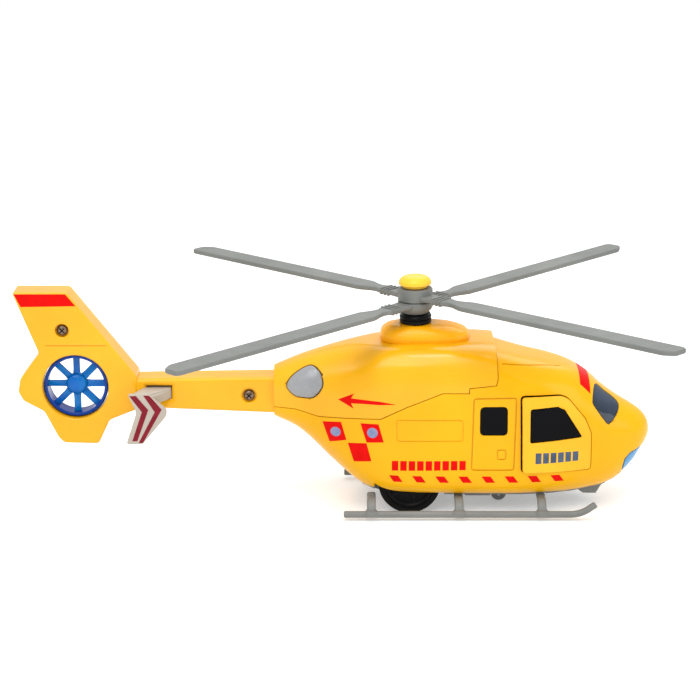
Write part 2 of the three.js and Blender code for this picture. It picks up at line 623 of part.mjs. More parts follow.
// Tail fan.
const fanRingProfile = [
  [12.9, -4.2], [14, -4.6], [14.5, -4.2], [14.5, -0.9], [15.9, -0.9], [15.9, 0.9],
  [14.5, 0.9], [14.5, 4.2], [14, 4.6], [12.9, 4.2], [12.9, -4.2],
];
const fanRing = turned("y", [0, 0, 0], fanRingProfile, 24);
const fanBlade = box(3, 13.4, -0.75, 0.75, -1.25, 1.25).rotate([30, 0, 0]);
const fanBlades = Array.from({ length: 8 }, (_, i) => fanBlade.rotate([0, i * 45, 0]));
const fanHubProfile = [[0, -2.6], [2.4, -2.6], [3.4, -1.8], [3.4, 1.8], [2.4, 2.6], [0, 2.6]];
const fanHub = turned("y", [0, 0, 0], fanHubProfile, 20);
addPiece("tail_fan", join(fanRing, fanHub, ...fanBlades).translate([fan.x, 0, fan.z]), fanBlue);

// Stabiliser.
const stabiliserPlan = [
  [-73.4, -7], [-83, -17.8], [-91, -17.8], [-86, -7], [-86, 7], [-91, 17.8], [-83, 17.8], [-73.4, 7],
];
const leadingWeb = [
  [-73.4, -7], [-80.6, -17], [-83.6, -17], [-76.4, -7], [-76.4, 7], [-83.6, 17], [-80.6, 17], [-73.4, 7],
];
const endPlates = [-1, 1].map((s) => sidePrism(stabiliserPlate, s * 17.5 - 0.8, s * 17.5 + 0.8, 0.3));
const stabiliser = join(planPrism(stabiliserPlan, 53.7, 55.4), planPrism(leadingWeb, 50.6, 54), ...endPlates);
addPiece("tail_stabiliser", stabiliser, finGrey);

// Push button, its switch and the matching exhaust on the left.
const buttonPlug = sidePrism(buttonCurve, -40, -6).intersect(hullLayer(-1.3, 3.2));
const buttonFlange = sidePrism(grown(buttonCurve, 0.9), -40, -6).intersect(hullLayer(2.2, 3.2));
addPiece("push_button", join(buttonPlug, buttonFlange), buttonGrey);
const exhaustPlug = sidePrism(buttonCurve, -40, -6).intersect(hullLayer(-1.3, 1.8));
addPiece("exhaust_cap_left", mirroredY(exhaustPlug), buttonGrey);
const switchAt = [-11.5, 0, 59.5];
addPiece("switch_plunger", rod("y", switchAt, -9.9, -7, 1.1, 12), blackPlastic);
const tactSwitch = cut(box(-14, -9, -7.4, -4.7, 57, 62), rod("y", switchAt, -12, -5.5, 1.4, 12));
addPiece("tact_switch", tactSwitch, darkPlastic);
addPiece("circuit_board", box(-17, 12, -4.4, -3.2, 53.5, 64), boardGreen);

// Electrics on the base plate.
const speakerBody = turned("z", speakerAt, [[0, 0], [10, 0], [10, 1.2], [7.6, 2], [5, 4.4], [0, 4.4]], 18);
const speakerCone = turned("z", speakerAt, [[0, -1], [8, -1], [8, 0.5], [2, 1.6], [0, 1.6]], 18);
const speaker = cut(speakerBody, speakerCone);
addPiece("speaker", speaker, darkPlastic);
const lampAt = [0, 0, 22];
const lamp = join(rod("x", lampAt, 122, 126.5, 2.4, 16), rod("x", lampAt, 126.4, 128.8, 2.4, 16, 1));
addPiece("nose_led", lamp, ledWhite);

// Cabin interior.
const tubPlan = [
  [59.5, -21.8], [97, -21.8], [111, -17.4], [117, -11], [117, 11], [111, 17.4], [97, 21.8], [59.5, 21.8],
];

function interiorTub() {
  const floor = planPrism(tubPlan, 18, 19.4);
  const bulkhead = box(59.5, 61, -21.6, 21.6, 19, 55);
  const dashSide = [[109.6, 19], [112.4, 34], [107, 38.6], [108.2, 40.4], [116.6, 36.6], [117, 19]];
  return join(floor, bulkhead, sidePrism(dashSide, -10.8, 10.8, 0.5));
}
addPiece("interior_tub", interiorTub(), darkPlastic);
const seatSide = [
  [88, 19.7], [101, 19.7], [101.6, 26.6], [99.8, 28.4],
  [92.2, 27.2], [88.8, 45.6], [85.4, 46.2], [84.4, 44.4],
];
for (const { name, sign } of sides) {
  addPiece("seat_" + name, onSide(sidePrism(seatSide, -17.6, -5, 0.9), sign), darkPlastic);
}

// Front doors.
function doorPanel() {
  const panel = hullShell.intersect(beltCut(grown(frontDoorOutline, -gap / 2)));
  const hinge = [doorHinge.x, -doorHinge.y, 0];
  const pins = join(rod("z", hinge, 19.8, 23, 0.5, 10), rod("z", hinge, 37, 40.6, 0.5, 10));
  return join(cut(panel, beltCut(frontWindowOutline)), pins);
}
const doorPane = glazingLayer.intersect(beltCut(grown(frontWindowOutline, -gap)));
for (const { name, sign } of sides) {
  const pivot = new THREE.Group();
  pivot.position.set(doorHinge.x, sign * doorHinge.y, 0);
  pivot.rotation.z = sign < 0 ? THREE.MathUtils.degToRad(doorAjar) : 0;
  helicopter.add(pivot);
  const local = (body) => onSide(body, sign).translate([-doorHinge.x, -sign * doorHinge.y, 0]);
  addPiece("front_door_" + name, local(doorPanel()), cowlingYellow, pivot);
  addPiece("door_window_" + name, local(doorPane), tintedGlazing, pivot);
}

export default helicopter;
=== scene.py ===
import math

import bmesh
import bpy
from mathutils import Matrix, Vector
from mathutils.geometry import intersect_point_line


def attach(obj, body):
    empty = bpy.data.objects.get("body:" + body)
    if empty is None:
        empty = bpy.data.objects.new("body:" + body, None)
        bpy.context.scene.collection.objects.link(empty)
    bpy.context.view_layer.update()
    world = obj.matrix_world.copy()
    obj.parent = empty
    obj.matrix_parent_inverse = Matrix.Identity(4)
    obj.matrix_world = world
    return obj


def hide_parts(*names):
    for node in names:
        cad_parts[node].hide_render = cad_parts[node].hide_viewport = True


# A push-along toy rescue helicopter, worked out in millimetres and scaled to metres piece by piece
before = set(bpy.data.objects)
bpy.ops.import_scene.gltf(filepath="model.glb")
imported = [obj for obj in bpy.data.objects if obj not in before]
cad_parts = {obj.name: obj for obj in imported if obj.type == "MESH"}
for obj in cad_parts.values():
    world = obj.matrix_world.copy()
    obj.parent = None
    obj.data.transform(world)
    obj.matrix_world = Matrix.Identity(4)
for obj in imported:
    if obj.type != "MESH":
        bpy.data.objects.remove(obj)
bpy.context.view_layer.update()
scene = bpy.context.scene
millimetre = 0.001
print("frame loaded")


def grown(outline, distance):
    # moves a closed outline outwards, or inwards for a negative distance
    area = sum(a[0] * b[1] - b[0] * a[1] for a, b in zip(outline, outline[1:] + outline[:1]))
    turn = 1 if area > 0 else -1
    result = []
    for i, point in enumerate(outline):
        before, after = outline[i - 1], outline[(i + 1) % len(outline)]
        normals = []
        for a, b in ((before, point), (point, after)):
            length = math.hypot(b[0] - a[0], b[1] - a[1])
            normals.append((turn * (b[1] - a[1]) / length, -turn * (b[0] - a[0]) / length))
        sx, sy = normals[0][0] + normals[1][0], normals[0][1] + normals[1][1]
        reach = 2 * distance / (sx * sx + sy * sy)
        result.append((point[0] + sx * reach, point[1] + sy * reach))
    return result


def roundCorners(outline, radius, steps=4):
    # swaps each corner for a short curve
    result = []
    for i, corner in enumerate(outline):
        here = Vector(corner)
        before, after = Vector(outline[i - 1]), Vector(outline[(i + 1) % len(outline)])
        reach = min(radius, 0.42 * (before - here).length, 0.42 * (after - here).length)
        start = here + (before - here).normalized() * reach
        end = here + (after - here).normalized() * reach
        for k in range(steps + 1):
            t = k / steps
            point = start * (1 - t) ** 2 + here * 2 * t * (1 - t) + end * t * t
            result.append((point.x, point.y))
    return result


def smoothLoop(points, perSpan=4):
    # a closed Catmull-Rom curve through the points
    count, result = len(points), []
    for i in range(count):
        p = [Vector(points[(i + k - 1) % count]) for k in range(4)]
        for k in range(perSpan):
            t = k / perSpan
            spot = 0.5 * (2 * p[1] + (p[2] - p[0]) * t + (2 * p[0] - 5 * p[1] + 4 * p[2] - p[3]) * t * t
                + (3 * p[1] - p[0] - 3 * p[2] + p[3]) * t ** 3)
            result.append((spot.x, spot.y))
    return result


def circleLoop(x, z, radius, count=32):
    return [(x + radius * math.cos(2 * math.pi * i / count),
        z + radius * math.sin(2 * math.pi * i / count)) for i in range(count)]


def insideOutline(x, z, outline):
    inside = False
    for (ax, az), (bx, bz) in zip(outline, outline[1:] + outline[:1]):
        if (az > z) != (bz > z) and x < (bx - ax) * (z - az) / (bz - az) + ax:
            inside = not inside
    return inside


def linearColor(hexText):
    channels = [int(hexText[i:i + 2], 16) / 255 for i in (1, 3, 5)]
    return tuple(c / 12.92 if c <= 0.04045 else ((c + 0.055) / 1.055) ** 2.4 for c in channels) + (1.0,)


def addNode(tree, kind, settings=None, links=None):
    # one node, its properties or input values, and what feeds its inputs
    node = tree.nodes.new(kind)
    for key, value in (settings or {}).items():
        if isinstance(key, str) and key in node.bl_rna.properties:
            setattr(node, key, value)
        else:
            node.inputs[key].default_value = value
    for key, source in (links or {}).items():
        tree.links.new(source, node.inputs[key])
    return node


def perMillimetre(size):
    # a texture scale that makes features about this many millimetres across on Object coordinates
    return 1000 / size


# feature sizes in millimetres; the grain is drawn coarser than a real mould's, so that it shows
plasticDetail = {"cloud": 30, "smudge": 9, "grain": 0.7, "bump": 0.05, "bumpHeight": 0.1,
    "roughness": (0.28, 0.4)}
metalDetail = {"lines": 0.25, "stain": 2.5, "bump": 0.15, "bumpHeight": 0.05, "roughness": (0.22, 0.42)}
styreneIor = 1.59
absIor = 1.54


def surfaceMaterial(name, look, noises, spread, settings):
    # colour from one noise, roughness from the next and fine relief from the last
    material = bpy.data.materials.new(name)
    material.use_nodes = True
    tree = material.node_tree
    tree.nodes.clear()
    place = addNode(tree, "ShaderNodeTexCoord").outputs["Object"]
    textures = []
    for size, detail, mix in noises:
        kind = {"Scale": perMillimetre(size), "Detail": detail, "Roughness": mix}
        textures.append(addNode(tree, "ShaderNodeTexNoise", kind, {"Vector": place}).outputs["Fac"])
    cloud, patch, grain = textures
    colors = addNode(tree, "ShaderNodeValToRGB", links={"Fac": cloud})
    for element, position, tone in zip(colors.color_ramp.elements, spread, ("dark", "light")):
        element.position, element.color = position, linearColor(look[tone])
    low, high = look["roughness"]
    levels = {"From Min": 0.3, "From Max": 0.7, "To Min": low, "To Max": high}
    rough = addNode(tree, "ShaderNodeMapRange", levels, {"Value": patch})
    relief = {"Strength": look["bump"], "Distance": look["bumpHeight"] * millimetre}
    bump = addNode(tree, "ShaderNodeBump", relief, {"Height": grain})
    sources = {"Base Color": colors.outputs["Color"], "Roughness": rough.outputs["Result"],
        "Normal": bump.outputs["Normal"]}
    shader = addNode(tree, "ShaderNodeBsdfPrincipled", settings, sources)
    addNode(tree, "ShaderNodeOutputMaterial", links={"Surface": shader.outputs["BSDF"]})
    return material


def plasticFinish(name, look):
    # moulded thermoplastic: even colour, faint flow clouding, fine mould grain and soft handling marks
    look = {**plasticDetail, **look}
    noises = [(look["cloud"], 3.0, 0.5), (look["smudge"], 6.0, 0.6), (look["grain"], 2.0, 0.5)]
    settings = {"IOR": look.get("ior", absIor), "Coat Weight": look.get("coat", 0.0),
        "Coat Roughness": 0.15, "Transmission Weight": look.get("clear", 0.0),
        "Specular IOR Level": look.get("shine", 0.3)}
    return surfaceMaterial(name, look, noises, (0.3, 0.7), settings)


def metalFinish(name, look):
    # plated or turned metal: fine lathe lines and a slightly uneven polish
    look = {**metalDetail, **look}
    stain = (look["stain"], 5.0, 0.5)
    noises = [stain, stain, (look["lines"], 2.0, 0.5)]
    return surfaceMaterial(name, look, noises, (0.35, 0.65), {"Metallic": 1.0})


plastics = {
    # ABS, satin from the mould: saturated yellow with a broad soft sheen
    "hullAbs": {"dark": "#DEA200", "light": "#E5AA00", "roughness": (0.18, 0.26), "shine": 0.18},
    # the cowling and mast fairing are a warmer yellow of the same plastic and the cap a paler one; the
    # door's paler, less saturated tone is partly its own moulding and partly painted sheen
    "cowlingAbs": {"dark": "#E2A008", "light": "#E8A910", "roughness": (0.16, 0.24), "shine": 0.3},
    "doorAbsAndSheen": {"dark": "#E7AA20", "light": "#EDB42A", "roughness": (0.2, 0.3), "shine": 0.16},
    "fairingAbs": {"dark": "#EA9E06", "light": "#F0A80E", "roughness": (0.22, 0.32), "shine": 0.2},
    "capAbs": {"dark": "#EDB62C", "light": "#F3BF38", "roughness": (0.28, 0.38), "shine": 0.2},
    # pad-printed ink: thin, a touch duller than the plastic under it, faintly mottled
    "redInk": {"dark": "#CA0502", "light": "#D80804", "cloud": 4, "roughness": (0.3, 0.42),
        "grain": 0.9, "shine": 0.06},
    "slateInk": {"dark": "#38465A", "light": "#4E5E74", "cloud": 4, "shine": 0.2},
    "discInk": {"dark": "#6A78A0", "light": "#848CAC", "cloud": 2, "shine": 0.2},
    "maroonInk": {"dark": "#6E1220", "light": "#7E1A28", "cloud": 4, "shine": 0.12},
    # polypropylene: bends without breaking, so it looks waxier and duller than ABS
    "rotorPp": {"dark": "#686A67", "light": "#737571", "roughness": (0.42, 0.55), "bump": 0.2,
        "grain": 0.9},
    "skidAbs": {"dark": "#6C6D6A", "light": "#787976", "roughness": (0.38, 0.5), "bump": 0.2},
    "finPlastic": {"dark": "#A2988C", "light": "#B0A89C", "roughness": (0.38, 0.5)},
    # sprayed with a silver metallic lacquer over grey plastic
    "buttonLacquer": {"dark": "#7C7E81", "light": "#929497", "smudge": 4, "coat": 0.3,
        "roughness": (0.2, 0.32), "grain": 0.35},
    # black ABS; it also paints the shade of the screws' cross slots
    "blackAbsAndSlotShade": {"dark": "#080809", "light": "#0F0F10", "roughness": (0.3, 0.45), "shine": 0.08},
    "charcoalAbs": {"dark": "#1E1F22", "light": "#2A2C30", "roughness": (0.45, 0.6), "bump": 0.3},
    # soft PVC: matt black with a dusty bloom
    "tyrePvc": {"dark": "#080808", "light": "#121110", "cloud": 5, "roughness": (0.6, 0.8), "bump": 0.5,
        "grain": 0.8, "shine": 0.08},
    # clear tinted polystyrene: light goes through it and its edges glow
    "fanPolystyrene": {"dark": "#0058B8", "light": "#0A88CC", "roughness": (0.08, 0.16), "cloud": 12,
        "clear": 0.2, "ior": styreneIor, "bump": 0.03, "shine": 0.12},
    "rimPolystyrene": {"dark": "#06307E", "light": "#0A3E9C", "roughness": (0.1, 0.2), "clear": 0.1,
        "ior": styreneIor, "bump": 0.03, "shine": 0.12},
    "lensPolystyrene": {"dark": "#4494CE", "light": "#5CA8DA", "bump": 0.03, "roughness": (0.08, 0.16),
        "clear": 0.3, "ior": styreneIor},
    # smoked polystyrene glazing: almost black, with sharp reflections
    "smokedGlazing": {"dark": "#050507", "light": "#090A0E", "roughness": (0.06, 0.12), "bump": 0.02,
        "shine": 0.06},
    # the windscreens are the same sheet in a paler blue-grey tint, with a stronger sky reflection
    "tintedScreen": {"dark": "#1C242E", "light": "#303C4E", "roughness": (0.04, 0.1), "cloud": 9,
        "bump": 0.02, "shine": 0.3},
    "boardLacquer": {"dark": "#15592D", "light": "#2A7A44", "cloud": 1.6, "roughness": (0.25, 0.4),
        "grain": 0.5},
    "ledEpoxy": {"dark": "#DCE6EE", "light": "#EEF4F8", "roughness": (0.05, 0.12), "clear": 0.8,
        "ior": 1.5, "bump": 0.02},
}
metals = {
    # zinc plate and nickel are cool and bright, old screw steel is brown and dull, turned brass is warm
    "zincSteel": {"dark": "#8F8F8B", "light": "#B9B8B4"},
    "wornScrewSteel": {"dark": "#4E3C2E", "light": "#8A7868", "roughness": (0.3, 0.5)},
    "turnedBrass": {"dark": "#B08D3E", "light": "#CFAE5C"},
    "nickelSteel": {"dark": "#B4B5B4", "light": "#CFCFCD", "roughness": (0.15, 0.3)},
}
finishes = {name: plasticFinish(name, look) for name, look in plastics.items()}
finishes.update({name: metalFinish(name, look) for name, look in metals.items()})
print("materials made")


def clearRim(mesh, reach):
    # points nearer to a cut edge than its rounding are welded or pushed back, so it can't fold
    welds = {}
    for edge in mesh.edges:
        if not edge.is_boundary:
            continue
        for vert in {v for f in edge.link_faces for v in f.verts if not v.is_boundary}:
            spot, _ = intersect_point_line(vert.co, edge.verts[0].co, edge.verts[1].co)
            away = vert.co - spot
            nearest = min(edge.verts, key=lambda v: (v.co - vert.co).length)
            if (nearest.co - vert.co).length < 2 * reach:
                welds[vert] = nearest
            elif 0 < away.length < reach:
                vert.co = spot + away.normalized() * reach
    bmesh.ops.weld_verts(mesh, targetmap=welds)
    bmesh.ops.dissolve_degenerate(mesh, edges=mesh.edges, dist=0.01)


def finishPiece(name, mesh, body, materials, stands=(), smoothAngle=38, wall=None, rim=None,
        merge=0.002):
    # mesh is a bmesh in millimetres; the object gets its place in the mesh, and rides on a body
    bmesh.ops.remove_doubles(mesh, verts=mesh.verts, dist=merge)
    bmesh.ops.dissolve_degenerate(mesh, edges=mesh.edges, dist=merge / 2)
    if rim:
        clearRim(mesh, 1.2 * rim)
        weights = mesh.edges.layers.float.new("bevel_weight_edge")
        for edge in mesh.edges:
            edge[weights] = 1.0 if edge.is_boundary else 0.0
    bmesh.ops.scale(mesh, vec=(millimetre,) * 3, verts=mesh.verts)
    data = bpy.data.meshes.new(name)
    mesh.to_mesh(data)
    mesh.free()
    for finish in materials:
        data.materials.append(finishes[finish])
    data.polygons.foreach_set("use_smooth", [True] * len(data.polygons))
    data.set_sharp_from_angle(angle=math.radians(smoothAngle))
    piece = bpy.data.objects.new(name, data)
    scene.collection.objects.link(piece)
    if wall:
        solid = piece.modifiers.new("wall", "SOLIDIFY")
        solid.thickness = wall * millimetre
        solid.offset = -1
        solid.material_offset = solid.material_offset_rim = len(materials) - 1
    if rim:
        bevel = piece.modifiers.new("rim", "BEVEL")
        bevel.width, bevel.segments, bevel.limit_method = rim * millimetre, 2, "WEIGHT"
        bevel.use_clamp_overlap, bevel.loop_slide, bevel.harden_normals = False, False, True
    if not wall:
        piece.modifiers.new("evenSides", "WEIGHTED_NORMAL").keep_sharp = True
    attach(piece, body)
    if stands:
        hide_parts(*stands)
    return piece


def absorb(mesh, *others):
    # adds other meshes to this one and frees them
    for other in others:
        passing = bpy.data.meshes.new("passing")
        other.to_mesh(passing)
        other.free()
        mesh.from_mesh(passing)
        bpy.data.meshes.remove(passing)
    return mesh


def plateMesh(loops, thickness, edge, edgeSteps=2):
    # a flat plate with rounded edges in the X-Y plane, holes included, made from a filled curve
    curve = bpy.data.curves.new("plate", "CURVE")
    curve.dimensions, curve.fill_mode = "2D", "BOTH"
    curve.extrude, curve.bevel_depth = thickness / 2 - edge, edge
    curve.bevel_resolution, curve.offset = edgeSteps, -edge
    for loop in loops:
        spline = curve.splines.new("POLY")
        spline.points.add(len(loop) - 1)
        spline.use_cyclic_u = True
        for point, (x, y) in zip(spline.points, loop):
            point.co = (x, y, 0, 1)
    holder = bpy.data.objects.new("plate", curve)
    scene.collection.objects.link(holder)
    data = bpy.data.meshes.new_from_object(holder.evaluated_get(bpy.context.evaluated_depsgraph_get()))
    mesh = bmesh.new()
    mesh.from_mesh(data)
    bpy.data.objects.remove(holder)
    bpy.data.curves.remove(curve)
    bpy.data.meshes.remove(data)
    for face in mesh.faces:
        face.material_index = 0
    bmesh.ops.remove_doubles(mesh, verts=mesh.verts, dist=0.001)
    bmesh.ops.recalc_face_normals(mesh, faces=mesh.faces)
    return mesh


def turnMesh(mesh, angle, axis, centre=(0, 0, 0)):
    bmesh.ops.rotate(mesh, cent=centre, matrix=Matrix.Rotation(math.radians(angle), 3, axis),
        verts=mesh.verts)
    return mesh


def moveMesh(mesh, offset):
    bmesh.ops.translate(mesh, vec=offset, verts=mesh.verts)
    return mesh


def sidePlate(loops, y0, y1, edge, edgeSteps=2):
    # the same plate standing in the side view, between two y values
    return moveMesh(turnMesh(plateMesh(loops, y1 - y0, edge, edgeSteps), 90, "X"),
        (0, (y0 + y1) / 2, 0))


def turnedMesh(profile, axis="Z", at=(0, 0, 0), steps=64):
    # a profile of (radius, height) points spun about an axis
    mesh = bmesh.new()
    points = [mesh.verts.new((radius, 0, height)) for radius, height in profile]
    edges = [mesh.edges.new(pair) for pair in zip(points, points[1:])]
    bmesh.ops.spin(mesh, geom=points + edges, axis=(0, 0, 1), angle=2 * math.pi, steps=steps,
        use_merge=True)
    bmesh.ops.remove_doubles(mesh, verts=mesh.verts, dist=0.001)
    bmesh.ops.recalc_face_normals(mesh, faces=mesh.faces)
    if axis == "Y":
        turnMesh(mesh, -90, "X")
    if axis == "X":
        turnMesh(mesh, 90, "Y")
    return moveMesh(mesh, at)


def blockMesh(low, high, edge, segments=2):
    mesh = bmesh.new()
    bmesh.ops.create_cube(mesh, size=1)
    low, high = Vector(low), Vector(high)
    for vert in mesh.verts:
        vert.co = Vector(low[k] + (vert.co[k] + 0.5) * (high[k] - low[k]) for k in range(3))
    bmesh.ops.bevel(mesh, geom=mesh.edges[:], offset=edge, offset_type="OFFSET", segments=segments,
        profile=0.5, affect="EDGES", material=-1)
    return mesh


def wrapMesh(rows, around, place):
    # a grid wrapped into a closed skin: place(i, k) gives the spot of row i at step k round it
    mesh = bmesh.new()
    bmesh.ops.create_grid(mesh, x_segments=rows, y_segments=around, size=1)
    for vert in mesh.verts:
        i, k = round((vert.co.x + 1) / 2 * rows), round((vert.co.y + 1) / 2 * around) % around
        vert.co = place(i, k)
    bmesh.ops.remove_doubles(mesh, verts=mesh.verts, dist=0.001)
    bmesh.ops.holes_fill(mesh, edges=[e for e in mesh.edges if e.is_boundary], sides=0)
    bmesh.ops.recalc_face_normals(mesh, faces=mesh.faces)
    return mesh


def tubeMesh(points, radii, sides=20):
    # a round tube along a path that stays in one upright plane
    points = [Vector(p) for p in points]

    def place(i, k):
        ahead = (points[min(i + 1, len(points) - 1)] - points[max(i - 1, 0)]).normalized()
        across = Vector((0, 1, 0))
        up = ahead.cross(across).normalized()
        angle = 2 * math.pi * k / sides
        return points[i] + (across * math.cos(angle) + up * math.sin(angle)) * radii[i]

    return wrapMesh(len(points) - 1, sides, place)


# stations along the hull: x, half width, height of the widest line, top, bottom,
# roundness above, roundness below
hullStations = [
    (-27, 9.5, 54, 64, 41, 2.6, 2.4), (-15, 14, 52.5, 69, 35, 2.5, 2.5),
    (0, 19.5, 48, 73.6, 21, 2.6, 2.7), (12, 22.8, 43, 76.1, 12, 3.2, 3.8),
    (22, 24.8, 39, 76.9, 8.6, 4.4, 4.8), (36, 26.4, 35.5, 77.4, 8.4, 5, 5),
    (55, 27, 34.5, 77.7, 8.4, 5, 5), (69.5, 26.9, 33.8, 74.7, 8.4, 5, 5),
    (74, 26.8, 33.6, 73.7, 8.4, 4.6, 5), (85, 26.4, 33.2, 70.7, 8.4, 4.2, 5),
    (98, 25, 33, 67.8, 8.6, 3.9, 4.8), (108, 22.9, 33, 64.9, 8.5, 3.2, 4),
    (116, 20.4, 33.2, 60.3, 8.8, 2.5, 3.3), (122, 18.6, 33.4, 55.1, 9.5, 2.2, 2.9),
    (129, 16, 33.7, 50, 12.4, 2.1, 2.6), (136, 12.2, 34, 45.8, 18.6, 2, 2.3),
    (140.5, 8.2, 34.2, 42.3, 25.6, 2, 2), (143, 4, 34.4, 38.8, 30.4, 2, 2),
    (143.8, 1.4, 34.4, 36, 32.8, 2, 2),
]
# the engine cowling keeps its height right up to its front edge, so it stands proud of the cabin roof
cowlingFront = [(69.5, 26.9, 33.8, 77.2, 8.4, 5, 5), (74, 26.8, 33.6, 76.6, 8.4, 5, 5),
    (85, 26.4, 33.2, 75.4, 8.4, 5, 5)]
cowlingStations = [station for station in hullStations if station[0] < 60] + cowlingFront


def stationAt(x, table):
    last = len(table) - 1
    i = max(k for k in range(last) if table[k][0] <= x or k == 0)
    span = table[i + 1][0] - table[i][0]
    t = (x - table[i][0]) / span

    def slope(k):
        a, b = table[max(k - 1, 0)], table[min(k + 1, last)]
        return [(b[c] - a[c]) / (b[0] - a[0]) for c in range(7)]

    s0, s1 = slope(i), slope(i + 1)
    return [(2 * t ** 3 - 3 * t ** 2 + 1) * table[i][c] + (t ** 3 - 2 * t ** 2 + t) * span * s0[c]
        + (3 * t ** 2 - 2 * t ** 3) * table[i + 1][c] + (t ** 3 - t ** 2) * span * s1[c]
        for c in range(7)]


def sectionLoop(x, quarter, table, grow=0.0):
    # points round one section, evenly spaced in each quarter
    x, width, middle, top, bottom, above, below = stationAt(x, table)
    loop = []
    for q in range(4):
        power = 2 / (above if q < 2 else below)
        height = (top - middle if q < 2 else middle - bottom) + grow
        fine = []
        for k in range(97):
            angle = (q + k / 96) * math.pi / 2
            c, s = math.cos(angle), math.sin(angle)
            fine.append((math.copysign(abs(c) ** power, c) * (width + grow),
                middle + math.copysign(abs(s) ** power, s) * height))
        lengths = [0.0]
        for a, b in zip(fine, fine[1:]):
            lengths.append(lengths[-1] + math.hypot(b[0] - a[0], b[1] - a[1]))
        k = 0
        for n in range(quarter):
            goal = lengths[-1] * n / quarter
            while lengths[k + 1] < goal:
                k += 1
            t = (goal - lengths[k]) / max(lengths[k + 1] - lengths[k], 1e-9)
            loop.append((fine[k][0] + t * (fine[k + 1][0] - fine[k][0]),
                fine[k][1] + t * (fine[k + 1][1] - fine[k][1])))
    return loop


def hullMesh(table=hullStations, grow=0.0, rings=170, quarter=32):
    # the whole hull as a closed smooth surface, with its rings closer together towards the nose
    startX, endX = table[0][0], table[-1][0]
    sections = {}

    def place(i, k):
        if i not in sections:
            x = endX - (endX - startX) * (1 - i / rings) ** 1.4
            sections[i] = (x, sectionLoop(x, quarter, table, grow))
        x, loop = sections[i]
        return (x, loop[k][0], loop[k][1])

    return wrapMesh(rings, 4 * quarter, place)


def onHull(x, z, side, lift=0.0, table=hullStations):
    # the point of the hull's side at x and z, lifted outwards; side is -1 for the right and 1 for the left
    def widthAt(px, pz):
        _, width, middle, top, bottom, above, below = stationAt(px, table)
        height, power = (top - middle, above) if pz >= middle else (middle - bottom, below)
        part = abs(pz - middle) / height
        return width * max(1 - min(part, 1) ** power, 0) ** (1 / power)

    width = widthAt(x, z)
    slopeX = (widthAt(x + 0.4, z) - widthAt(x - 0.4, z)) / 0.8
    slopeZ = (widthAt(x, z + 0.4) - widthAt(x, z - 0.4)) / 0.8
    normal = Vector((-slopeX, 1, -slopeZ)).normalized()
    return Vector((x + normal.x * lift, side * (width + normal.y * lift), z + normal.z * lift))


def splitAlong(mesh, outline, side=0, plan=False, margin=1.2):
    # adds edges where an outline, seen from the side or from above, crosses the surface
    up = 1 if plan else 2
    xs, zs = [p[0] for p in outline], [p[1] for p in outline]

    def overlaps(face, lowX, highX, lowZ, highZ):
        fx, fz = [v.co.x for v in face.verts], [v.co[up] for v in face.verts]
        withinX = max(fx) > lowX - margin and min(fx) < highX + margin
        return withinX and max(fz) > lowZ - margin and min(fz) < highZ + margin

    near = [f for f in mesh.faces if (not side or f.calc_center_median().y * side > 0)
        and overlaps(f, min(xs), max(xs), min(zs), max(zs))]
    for a, b in zip(outline, outline[1:] + outline[:1]):
        faces = [f for f in near if f.is_valid and overlaps(f, min(a[0], b[0]), max(a[0], b[0]),
            min(a[1], b[1]), max(a[1], b[1]))]
        if not faces:
            continue
        geom = list({e for f in faces for e in f.edges}) + list({v for f in faces
            for v in f.verts}) + faces
        across = (b[1] - a[1], -(b[0] - a[0]))
        normal = (across[0], across[1], 0) if plan else (across[0], 0, across[1])
        spot = (a[0], a[1], 0) if plan else (a[0], 0, a[1])
        made = bmesh.ops.bisect_plane(mesh, geom=geom, dist=0.0005, plane_co=spot, plane_no=normal)
        kept = set(near)
        near += [f for f in made["geom"] if isinstance(f, bmesh.types.BMFace) and f not in kept]


def facesWithin(mesh, outline, side=0, plan=False, keep=None):
    up = 1 if plan else 2
    xs, zs = [p[0] for p in outline], [p[1] for p in outline]
    found = []
    for face in mesh.faces:
        centre = face.calc_center_median()
        if side and centre.y * side <= 0:
            continue
        if not (min(xs) <= centre.x <= max(xs) and min(zs) <= centre[up] <= max(zs)):
            continue
        if insideOutline(centre.x, centre[up], outline) and (keep is None or keep(centre)):
            found.append(face)
    return found


def cutAway(mesh, outline, side=0, plan=False, keep=None):
    splitAlong(mesh, outline, side, plan)
    bmesh.ops.delete(mesh, geom=facesWithin(mesh, outline, side, plan, keep), context="FACES")


def keepOnly(mesh, outline, side=0):
    splitAlong(mesh, outline, side)
    wanted = set(facesWithin(mesh, outline, side))
    bmesh.ops.delete(mesh, geom=[f for f in mesh.faces if f not in wanted], context="FACES")


def paint(mesh, outline, index, side=0, plan=False, keep=None):
    splitAlong(mesh, outline, side, plan)
    for face in facesWithin(mesh, outline, side, plan, keep):
        face.material_index = index


def groove(mesh, outline, side, width, depth):
    # a moulded line: the strip between two offset outlines, sunk below the surface
    outer, inner = grown(outline, width / 2), grown(outline, -width / 2)
    splitAlong(mesh, outer, side)
    splitAlong(mesh, inner, side)
    within = set(facesWithin(mesh, inner, side))
    strip = [f for f in facesWithin(mesh, outer, side) if f not in within]
    sink(mesh, strip, depth)


def sink(mesh, faces, depth):
    # lowers a patch of faces straight in, with upright walls round it
    if not faces:
        return
    normals = {v: v.normal.copy() for f in faces for v in f.verts}
    made = bmesh.ops.extrude_face_region(mesh, geom=faces)
    bmesh.ops.delete(mesh, geom=[f for f in faces if f.is_valid], context="FACES")
    lowered = [v for v in made["geom"] if isinstance(v, bmesh.types.BMVert)]
    lookup = {tuple(round(c, 5) for c in v.co): n for v, n in normals.items() if v.is_valid}
    for vert in lowered:
        normal = lookup.get(tuple(round(c, 5) for c in vert.co)) or vert.normal
        vert.co -= normal * depth


